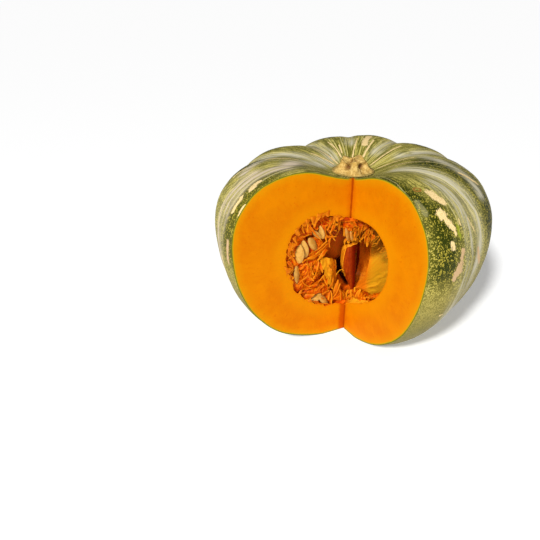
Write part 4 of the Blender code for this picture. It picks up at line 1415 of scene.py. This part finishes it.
# %% The golden column and the smears over the cut
# The edges of three wide sheets, from root to torn end
GOLD_LEFT = ((28.6, 75.5, 2.5), (26.4, 70.5, 1.6), (24.6, 66, 1.4), (22.6, 61, 1.6), (20.6, 56, 1.8),
             (18.6, 51, 2.2), (16.6, 46.5, 2.8), (14.6, 42.5, 3.6))
GOLD_RIGHT = ((17.4, 73.0, 3.0), (17.4, 69, 2.6), (17.2, 65, 2.6), (16.6, 60, 2.8), (16.2, 55.5, 3.0),
              (15.4, 51, 3.2), (14.2, 46.5, 3.6), (13.4, 42.0, 4.4))
BROWN_RIGHT = ((12.6, 70.5, 7.0), (11.4, 67, 6.6), (10.6, 62, 6.6), (10.4, 57, 7), (10.8, 52, 7.6),
               (11.8, 47, 8), (12.0, 44, 8), (12.4, 40, 8))
FLAME_LEFT = ((15.2, 33, 4), (14.0, 37, 3.6), (13.0, 41, 3.2), (11.6, 46, 2.8), (9.6, 51.6, 2.4))
FLAME_RIGHT = ((-1.6, 27, 4), (1.4, 32, 4), (4.2, 38, 3.6), (7.0, 45, 3.0), (9.0, 51.4, 2.5))
FLAME_TIPS = (((12, 34, 2.5), (6.4, 47, 1.6), 4.0, 15), ((4, 29.5, 2.0), (8, 42, 1.4), 4.4, 15),
              ((-1, 27.4, 3), (3.4, 37, 2.0), 3.4, 15), ((18, 44, 3), (13, 53, 2), 3.4, 15))
LOOSE_THREAD = ((10.6, 55.4, 5.0), (8.2, 59.0, 4.6), (5.4, 59.8, 4.4), (3.2, 57.8, 4.4))
SMEARS = 40


def left_places(path):
    return [seen_left(*place) for place in path]


# Edges, steps, crinkle, brightness of the torn rim, gold from edge to edge, belly
for one_edge, other_edge, *looks in (
        (GOLD_LEFT, GOLD_RIGHT, (8, 30), 1.0, 0.4, (1.0, 0.7), 0.8),
        (GOLD_RIGHT, BROWN_RIGHT, (6, 26), 1.2, 0.5, (0.5, 0.1)),
        (FLAME_LEFT, FLAME_RIGHT, (6, 14), 0.9, 0.5, (0.15, 0.15), 1.5)):
    add_sheet(left_sheets, left_places(one_edge), left_places(other_edge), *looks)
add_leaves(left_sheets, FLAME_TIPS, seen_left, LEFT_INTO)
for start, end in zip(LOOSE_THREAD, LOOSE_THREAD[1:]):
    add_leaves(left_sheets, [(start, end, 0.7, 0)], seen_left, LEFT_INTO, blunt=0.8,
               gold=(0.9, 0.9))
for step in range(SMEARS):
    _, rim, inward, aside = rim_start(step, SMEARS, 1)
    aside *= draw.uniform(-0.7, 0.7)
    root = rim - (inward + aside) * draw.uniform(0.6, 2.8)
    tip = rim + (inward + aside) * draw.uniform(1.5, 5.5)
    root.z, tip.z = 0.3, draw.uniform(-0.1, 0.8)
    random_left_leaf(root, tip, draw.uniform(4.0, 8.5), draw.uniform(-8, 8), bright=0.3,
                     crinkle=0.2, gold=(0.3, 0.2))
left_leaves = sheets_object(left_sheets, "left_leaves", pulp)
print("the left leaves have", len(left_leaves.data.polygons), "faces")

# %% [markdown]
# ## The roof, the membrane and the floor
#
# Torn fibres hang from the hollow's roof, with two seeds. A thin membrane, with light painted
# bright on its torn rim and shade painted on its side turned away, stands bent in the middle,
# and a second leaf of it still clings to the seam on the right wall, its free part painted
# dark as shade. Along the floor lie short fibres and crumbs.

# %% The roof bunch
draw = random.Random(5)
BACKWARD = Vector((0, 1, 0))
ROOF_AXES = (Vector((1, 0, 0)), BACKWARD, UP)
ROOF_CORES = (((5, -6, 106), (24, 13, 7)), ((11, -8, 98), (8, 6, 7)), ((0, -9, 97), (6, 5, 6)),
              ((20, -9, 101), (8, 5, 5)))
ROOF_LEAVES = (
    ((-4.6, -10, 99), (-3.6, -10, 86), 3.0, 40), ((1.0, -10.5, 97), (0.6, -10, 84), 2.0, 20),
    ((4.6, -9, 98), (4.4, -8, 81), 3.0, 30), ((8.0, -9, 97), (6.0, -7, 80.5), 4.4, 25),
    ((12.5, -10, 96), (6.0, -7, 81.5), 4.0, 20), ((16.5, -10, 94), (9.6, -7, 80), 3.4, 20),
    ((21.0, -11, 96), (13.0, -8, 84), 3.4, 25), ((-1.6, -10, 84), (-2.6, -8, 77), 2.0, 20),
    ((1.4, -10, 85), (0.6, -8, 78.5), 4.6, 10), ((4.4, -8, 84), (3.0, -7, 80), 3.0, 25),
    ((14.6, -10, 93), (16.4, -9, 83), 2.2, 50), ((10.0, -9, 92), (11.4, -8, 79), 2.2, 60),
)


def hanging_fibre_place(place):
    """Noise places drawn out upright."""
    return Vector((place.x / 2.4, place.y / 2.4, place.z / 10))


def in_space(*place):
    return Vector(place)


roof_data = bmesh.new()
for middle, radii in ROOF_CORES:
    add_core(roof_data, Vector(middle), radii, ROOF_AXES)
roof_pulp = melt(roof_data, "roof_pulp")
keep_inside(roof_pulp)
wrinkle(roof_pulp, hanging_fibre_place, 1.3)
print("the roof's mass has", len(roof_pulp.data.polygons), "faces")

# %% Leaves and fibres of the roof
ROOF_FIBRES, CUT_FIBRES, FINE_FIBRES = 44, 26, 26
roof_sheets = new_sheets()
add_leaves(roof_sheets, ROOF_LEAVES, in_space, BACKWARD, blunt=0.3, gold=(0.2, 0.2))
for _ in range(ROOF_FIBRES):
    root = Vector((draw.uniform(-9, 25), draw.uniform(-14, 0), 100 - draw.uniform(0, 5)))
    drop = draw.uniform(6, 15) * (1 if 2 < root.x < 16 else 0.6)
    tip = root + Vector((draw.uniform(-6, 2), draw.uniform(-3, 3), -drop))
    if abs(root.x) > 3.5 or root.y > -7:
        add_leaf(roof_sheets, root, tip, draw.uniform(1.6, 5.0), draw.uniform(0, 180), BACKWARD)
for _ in range(CUT_FIBRES):
    along = draw.uniform(-1, 34)
    root = Vector((along, 104.5 - 0.05 * along - draw.uniform(0, 2.5), draw.uniform(0.6, 4)))
    tip = root + Vector((draw.uniform(-8, 0), -draw.uniform(3, 11), draw.uniform(0.5, 4)))
    add_leaf(roof_sheets, seen_right(*root), seen_right(*tip), draw.uniform(1.6, 5.0),
             draw.uniform(-90, 90), RIGHT_INTO, 0.25, gold=(draw.uniform(-0.7, 0.3), 0.0))
for _ in range(FINE_FIBRES):
    along, height = draw.uniform(22, 50), draw.uniform(93, 104)
    root = behind_right(along, min(height, 108 - 0.25 * (along - 22)), draw.uniform(0.5, 4))
    lean = Vector((draw.uniform(-0.9, -0.5), draw.uniform(-1.0, -0.4), draw.uniform(-0.1, 0.5)))
    tip = root + (RIGHT_ALONG * lean.x + UP * lean.y + RIGHT_INTO * lean.z) * draw.uniform(5, 11)
    add_leaf(roof_sheets, root, tip, draw.uniform(0.4, 0.9), draw.uniform(0, 90), RIGHT_INTO,
             0.4, bright=0.5, gold=(0.4, 0.4))
roof_leaves = sheets_object(roof_sheets, "roof_leaves", pulp)
print("the roof leaves have", len(roof_leaves.data.polygons), "faces")

# %% The membrane
# The bend's middle and half width from foot to rim, and the rim's height from left to right
CURTAIN_MIDDLE = (8.8, 8.0, 6.5, 5.2, 4.2, 3.5, 3.5)
CURTAIN_WIDTH = (0.8, 1.8, 3.5, 4.9, 5.8, 6.3, 6.4)
CURTAIN_TOP = (62, 71.5, 75, 76.2, 76.8, 77.2, 78)
CURTAIN_FOOT, CURTAIN_DEPTH = 27, 5.0
CURTAIN_THICKNESS, LEAF_THICKNESS = 1.3, 0.8


def listed(values, share):
    """Reads between the values of a list, at a share of its length."""
    return float(np.interp(share, np.linspace(0, 1, len(values)), values))


def curtain_place(across, rise, out=0.0):
    """The bent sheet: across runs from its left edge to its right, rise from foot to rim."""
    turn = math.radians(-176 + 180 * across)
    radius = listed(CURTAIN_WIDTH, rise) + 0.3 * math.sin(9 * across + 4 * rise) + out
    ragged = 0.9 * noise.noise(Vector((across * 9, 0.3, 2))) * rise
    place = Vector((listed(CURTAIN_MIDDLE, rise), CURTAIN_DEPTH, 0))
    place += Vector((math.cos(turn), math.sin(turn), 0)) * radius
    full = listed(CURTAIN_TOP, across) - CURTAIN_FOOT
    return place + UP * (CURTAIN_FOOT + full * rise + ragged)


curtain_data = bmesh.new()
bmesh.ops.create_grid(curtain_data, x_segments=44, y_segments=60, size=0.5)
tip_layer = curtain_data.verts.layers.float.new("tip")
# The turned-away number paints shade on the sheet's right side, which turns from the light
shade_layer = curtain_data.verts.layers.float.new("turned_away_shade")
for vert in curtain_data.verts:
    across, rise = vert.co.x + 0.5, vert.co.y + 0.5
    vert.co = curtain_place(across, rise)
    vert.co += noise.noise_vector(vert.co / 4) * 0.35
    # The tip number paints light on the left edge and the top rim, where the sheet catches light
    vert[tip_layer] = max(math.exp(-(across / 0.07) ** 2) * (rise > 0.4),
                          math.exp(-((1 - rise) / 0.03) ** 2))
    vert[shade_layer] = across
membrane, membrane_place = new_material("membrane")
curtain = thickened(object_from(curtain_data, "curtain", [membrane]), CURTAIN_THICKNESS)
print("the membrane has", len(curtain.data.polygons), "faces")

# %% Its torn lip, and the second leaf
# The lip runs up the left edge and along the rim, given as shares across and up the sheet
lip_path = [(0.0, 0.50), (0.0, 0.60), (0.0, 0.70), (0.0, 0.80), (0.02, 0.90), (0.08, 0.97)]
lip_path += [(0.16 + 0.1 * step, 0.995) for step in range(9)]
LIP_WIDTHS = (0.6, 2.6, 4.2, 5.4, 6.0, 5.6, 3.8, 3.0, 2.5, 2.1, 1.8, 1.6, 1.6, 1.6, 1.6)
inner_edge, outer_edge = [], []
for (across, rise), width in zip(lip_path, LIP_WIDTHS):
    inner_edge.append(curtain_place(across, rise, 0.9) + UP * 0.5)
    if across < 0.1:
        outer_edge.append(curtain_place(across + width / 20, rise, 1.7))
    else:
        outer_edge.append(curtain_place(across, rise - width / 48, 1.7))
curtain_sheets = new_sheets()
# The lip is painted bright, as light caught on the torn rim
add_sheet(curtain_sheets, inner_edge, outer_edge, (7, 44), 0.5, 1.0, (0.9, 0.5), 0.5)
LEAF_FREE_EDGE = ((5.0, 16, 101), (7.0, 20, 88), (8.0, 23, 78), (8.6, 24, 69), (9.4, 24, 61),
                  (10.0, 24, 54), (10.2, 24, 47), (10.0, 22, 40), (9.4, 20, 34), (8.5, 17, 28))
LEAF_MIDDLE = ((9.0, 15, 101), (12.4, 19, 88), (14.0, 21, 78), (14.6, 21, 69), (15.6, 21, 61),
               (16.0, 21, 54), (15.6, 21, 47), (14.4, 20, 40), (12.4, 18.4, 34), (9.6, 16.4, 28))
LEAF_SEAM_EDGE = ((31.0, 49, 101), (31.0, 50, 88), (30.8, 50, 76), (30.6, 49, 66), (30.0, 47, 56),
                  (29.0, 41, 48), (27.6, 34, 42), (25.6, 25, 37.5), (23.5, 15, 34), (21.0, 3, 31))
golden_edges = [[Vector(place) + Vector(shift) for place in LEAF_SEAM_EDGE]
                for shift in ((-1.7, -1.6, 0), (0.3, -1.9, 0))]
# The leaf's free part is painted dark: it stands for the shade in the gap behind the membrane
add_sheet(curtain_sheets, LEAF_FREE_EDGE, LEAF_MIDDLE, (8, 44), 0.5, 0.0, (-1.0, -0.7))
add_sheet(curtain_sheets, LEAF_MIDDLE, LEAF_SEAM_EDGE, (20, 44), 0.6, 0.15, (0.1, 0.45), -1.0)
add_sheet(curtain_sheets, *golden_edges, (3, 44), 0.5, 0.9, (0.8, 0.8))
curtain_leaves = sheets_object(curtain_sheets, "curtain_leaves", membrane, LEAF_THICKNESS)
print("the lip and the second leaf have", len(curtain_leaves.data.polygons), "faces")

# %% The floor bunch
draw = random.Random(3)
AXES_RIGHT = (RIGHT_ALONG, RIGHT_INTO, UP)
FLOOR_SLOPE = 0.62
CRUMBS, FLOOR_FIBRES = 26, 52
FLOOR_LEAVES = (
    ((6.4, 27, 3), (5.0, 42.5, 5), 4.0, 15), ((11.0, 29, 3), (12.4, 44, 6), 4.4, 15),
    ((1.6, 25, 3), (0.6, 38, 5), 4.0, 15), ((-3.6, 24, 3), (-3.0, 36, 5), 3.6, 15),
    ((15.4, 31.5, 4), (18.6, 42, 7), 3.4, 25),
)
PALE_LIP = (((-1.6, 23.0, -0.4), (9.4, 31.0, -0.4), (19, 35.0, -0.4), (31, 41.4, 0.0)),
            ((-1.0, 25.8, 1.6), (9.0, 35.0, 1.8), (19, 38.4, 1.6), (31, 43.4, 1.2)))
floor_data = bmesh.new()
add_core(floor_data, behind_right(24, 35.5, 9), (26, 7, 6.0), AXES_RIGHT)
add_core(floor_data, behind_right(1, 25, 6), (11, 5, 5.0), AXES_RIGHT)
for _ in range(CRUMBS):
    along = draw.uniform(17, 44)
    size = draw.uniform(1.2, 2.2)
    spot = behind_right(along, 25.5 + FLOOR_SLOPE * along + draw.uniform(0, 2.5),
                        draw.uniform(1.5, 7))
    add_core(floor_data, spot, (size * 1.3, size, size), AXES_RIGHT, 0.8)
floor_pulp = melt(floor_data, "floor_pulp")
keep_inside(floor_pulp)
wrinkle(floor_pulp, hanging_fibre_place)
floor_sheets = new_sheets()
add_leaves(floor_sheets, FLOOR_LEAVES, behind_right, RIGHT_INTO, blunt=0.35, gold=(0.15, 0.15))
for _ in range(FLOOR_FIBRES):
    along = draw.uniform(-6, 46)
    root = Vector((along, 26 + FLOOR_SLOPE * max(0, along), draw.uniform(1.5, 8)))
    tip = root + Vector((draw.uniform(-3, 3), draw.uniform(1.5, 7 if along < 16 else 2.6),
                         draw.uniform(-3, 1)))
    tip.z = max(tip.z, 0.8)
    if along > 16 and draw.random() < 0.6:
        continue
    add_leaf(floor_sheets, behind_right(*root), behind_right(*tip), draw.uniform(1.6, 4.4),
             draw.uniform(0, 180), RIGHT_INTO)
add_sheet(floor_sheets, *[[behind_right(*place) for place in path] for path in PALE_LIP], (4, 24),
          0.5, 1.0, (0.9, 0.9), 0.4)
floor_leaves = sheets_object(floor_sheets, "floor_leaves", pulp)
bpy.data.objects.remove(pulp_limit, do_unlink=True)
print("the floor leaves have", len(floor_leaves.data.polygons), "faces")

# %% How open everything in the hollow lies
PULP_REACH = 9
bunches = (left_pulp, left_leaves, roof_pulp, roof_leaves, floor_pulp, floor_leaves, curtain,
           curtain_leaves)
crowd = tree_of(fruit, left_seeds, roof_seeds, floor_seeds, *bunches)
for piece in bunches:
    paint(piece, "open", openness_of(piece, crowd, PULP_REACH))
print("crevices measured on", len(bunches), "pieces")

# %% The pulp's finish
pulp_open, tip_light, ridge, gold = [stored(pulp_place, name) for name in
                                    ("open", "tip", "ridge", "gold")]
threads = cloud(scaled(pulp_place, 1, 1, 0.5), 2.2, 3, 0.55)
pulp_colour = layered(
    # Painted shade: dark red where the pulp lies shut in, lighter where it lies open
    shade(177, 53, 0),
    (between(pulp_open, 0.08, 0.55), shade(209, 102, 2)),
    # Painted shade in the wrinkles' hollows and a painted highlight on their crests
    (between(ridge, 0.55, 0.2) * 0.6, shade(164, 40, 0)),
    (between(ridge, 0.62, 0.95) * 0.7, shade(224, 136, 13)),
    (between(cloud(pulp_place, 6, 3), 0.42, 0.65) * 0.4, shade(195, 66, 2)),
    (between(threads, 0.5, 0.68) * 0.4, shade(224, 136, 11)),
    (between(gold, -0.1, -0.9) * 0.65, shade(164, 36, 0)),
    (held(gold * (0.6 + 0.5 * threads)), shade(226, 162, 25)),
    # Painted light: thin torn tips turn yellow, as if lit through
    (held(tip_light) * 0.75, shade(229, 153, 22)),
    # Painted shade: the deepest crevices turn dark red
    (between(pulp_open, 0.22, 0.02) * 0.8, shade(132, 22, 0)))
dress(pulp, pulp_colour, 0.36 + 0.15 * threads, threads * 0.3, 0.7, Specular_IOR_Level=0.05)
print("pulp nodes:", len(pulp.node_tree.nodes))

# %% The membrane's finish
torn, away, membrane_gold = [stored(membrane_place, name) for name in
                             ("tip", "turned_away_shade", "gold")]
folds = cloud(scaled(membrane_place, 1, 1, 0.12), 2.0, 4, 0.6)
golden_folds = mixed(between(folds, 0.4, 0.62), shade(196, 104, 8), shade(228, 142, 20))
membrane_colour = layered(
    shade(144, 44, 4),
    (between(folds, 0.38, 0.64), shade(172, 65, 8)),
    # Painted shade on the side turned from the light
    (between(away, 0.36, 0.66), shade(110, 18, 2)),
    # Painted shade on the second leaf's free part
    (between(membrane_gold, -0.1, -0.6), shade(96, 14, 0)),
    (held(membrane_gold * 1.6), golden_folds),
    # Painted light on the torn rim and its lip
    (held(torn), shade(255, 160, 26)))
dress(membrane, membrane_colour, 0.4, folds * 0.4, 0.7, Specular_IOR_Level=0.05)
print("membrane nodes:", len(membrane.node_tree.nodes))

# %% The seed's finish
veins = cloud(seed_place, 3.0, 3, 0.6)
film = stored(seed_place, "film") * 1.4 * between(cloud(seed_place, 4.0, 3), 0.3, 0.7)
seed_colour = layered(
    shade(198, 150, 70),
    (between(veins, 0.4, 0.7), shade(186, 133, 49)),
    (between(stored(seed_place, "rim"), 0.78, 1.0) * 0.55, shade(171, 126, 63)),
    (between(cloud(seed_place, 5.0, 2), 0.56, 0.7) * 0.35, shade(188, 127, 55)),
    (held(film), shade(194, 117, 30)))
dress(seed_coat, seed_colour, 0.36, veins * 0.1, 0.5, Specular_IOR_Level=0.12)
print("seed nodes:", len(seed_coat.node_tree.nodes))

# %% Finish the pieces
SHARP_ANGLE = 40
finish_piece(fruit, "rind_and_flesh", "fruit", smooth_angle=SHARP_ANGLE)
for node, slot, *pieces in (("stem", "stem", stem),
                            ("pulp_left", "pulp", left_pulp, left_leaves),
                            ("pulp_left", "seed", left_seeds),
                            ("pulp_roof", "pulp", roof_pulp, roof_leaves),
                            ("pulp_roof", "seed", roof_seeds),
                            ("pulp_curtain", "pulp", curtain, curtain_leaves),
                            ("pulp_floor", "pulp", floor_pulp, floor_leaves),
                            ("pulp_floor", "seed", floor_seeds)):
    for piece in pieces:
        finish_piece(piece, slot, node)

# %% [markdown]
# ## The stage
#
# A plain white floor in a white sky that only the camera sees at full strength, so that it
# stays white without washing out the fruit. A soft sun from the left front casts a narrow
# shadow to the right. A weaker lamp stands in line with the camera and lights the hollow.

# %% Floor and light
FLOOR_SIZE = 30
SKY_LIGHT = 0.2
PAPER_WHITE, PAPER_GLOW = shade(252, 252, 252), 0.16
SUN_SPOT, SUN_WIDTH, SUN_POWER = (-0.74, -1.5, 1.28), 6, 3.4
FRONT_SPOT, FRONT_SIZE, FRONT_POWER = (-0.11, -0.97, 0.48), 0.15, 3.1
AIM = Vector((0, 0, 0.08))
floor_mesh = bmesh.new()
bmesh.ops.create_grid(floor_mesh, x_segments=1, y_segments=1, size=FLOOR_SIZE)
paper = new_material("white_paper")[0]
dress(paper, PAPER_WHITE, 0.9, Specular_IOR_Level=0.0, Emission_Strength=PAPER_GLOW)
floor = object_from(floor_mesh, "floor", [paper])
world = bpy.data.worlds.new("sky")
world.use_nodes = True
background = world.node_tree.nodes["Background"]
background.inputs["Color"].default_value = (1, 1, 1, 1)
seen = world.node_tree.nodes.new("ShaderNodeLightPath")
strength = world.node_tree.nodes.new("ShaderNodeMapRange")
strength.inputs["To Min"].default_value = SKY_LIGHT
world.node_tree.links.new(seen.outputs["Is Camera Ray"], strength.inputs["Value"])
world.node_tree.links.new(strength.outputs["Result"], background.inputs["Strength"])
scene.world = world


def lamp(name, kind, place, power, **shape):
    """A soft light that faces the fruit."""
    made = bpy.data.objects.new(name, bpy.data.lights.new(name, kind))
    made.data.energy = power
    for setting, value in shape.items():
        setattr(made.data, setting, value)
    made.location = place
    made.rotation_euler = (AIM - Vector(place)).to_track_quat("-Z", "Y").to_euler()
    scene.collection.objects.link(made)


lamp("front", "AREA", FRONT_SPOT, FRONT_POWER, size=FRONT_SIZE)
lamp("sun", "SUN", SUN_SPOT, SUN_POWER, angle=math.radians(SUN_WIDTH))
print("a sun, a front lamp and a white sky")
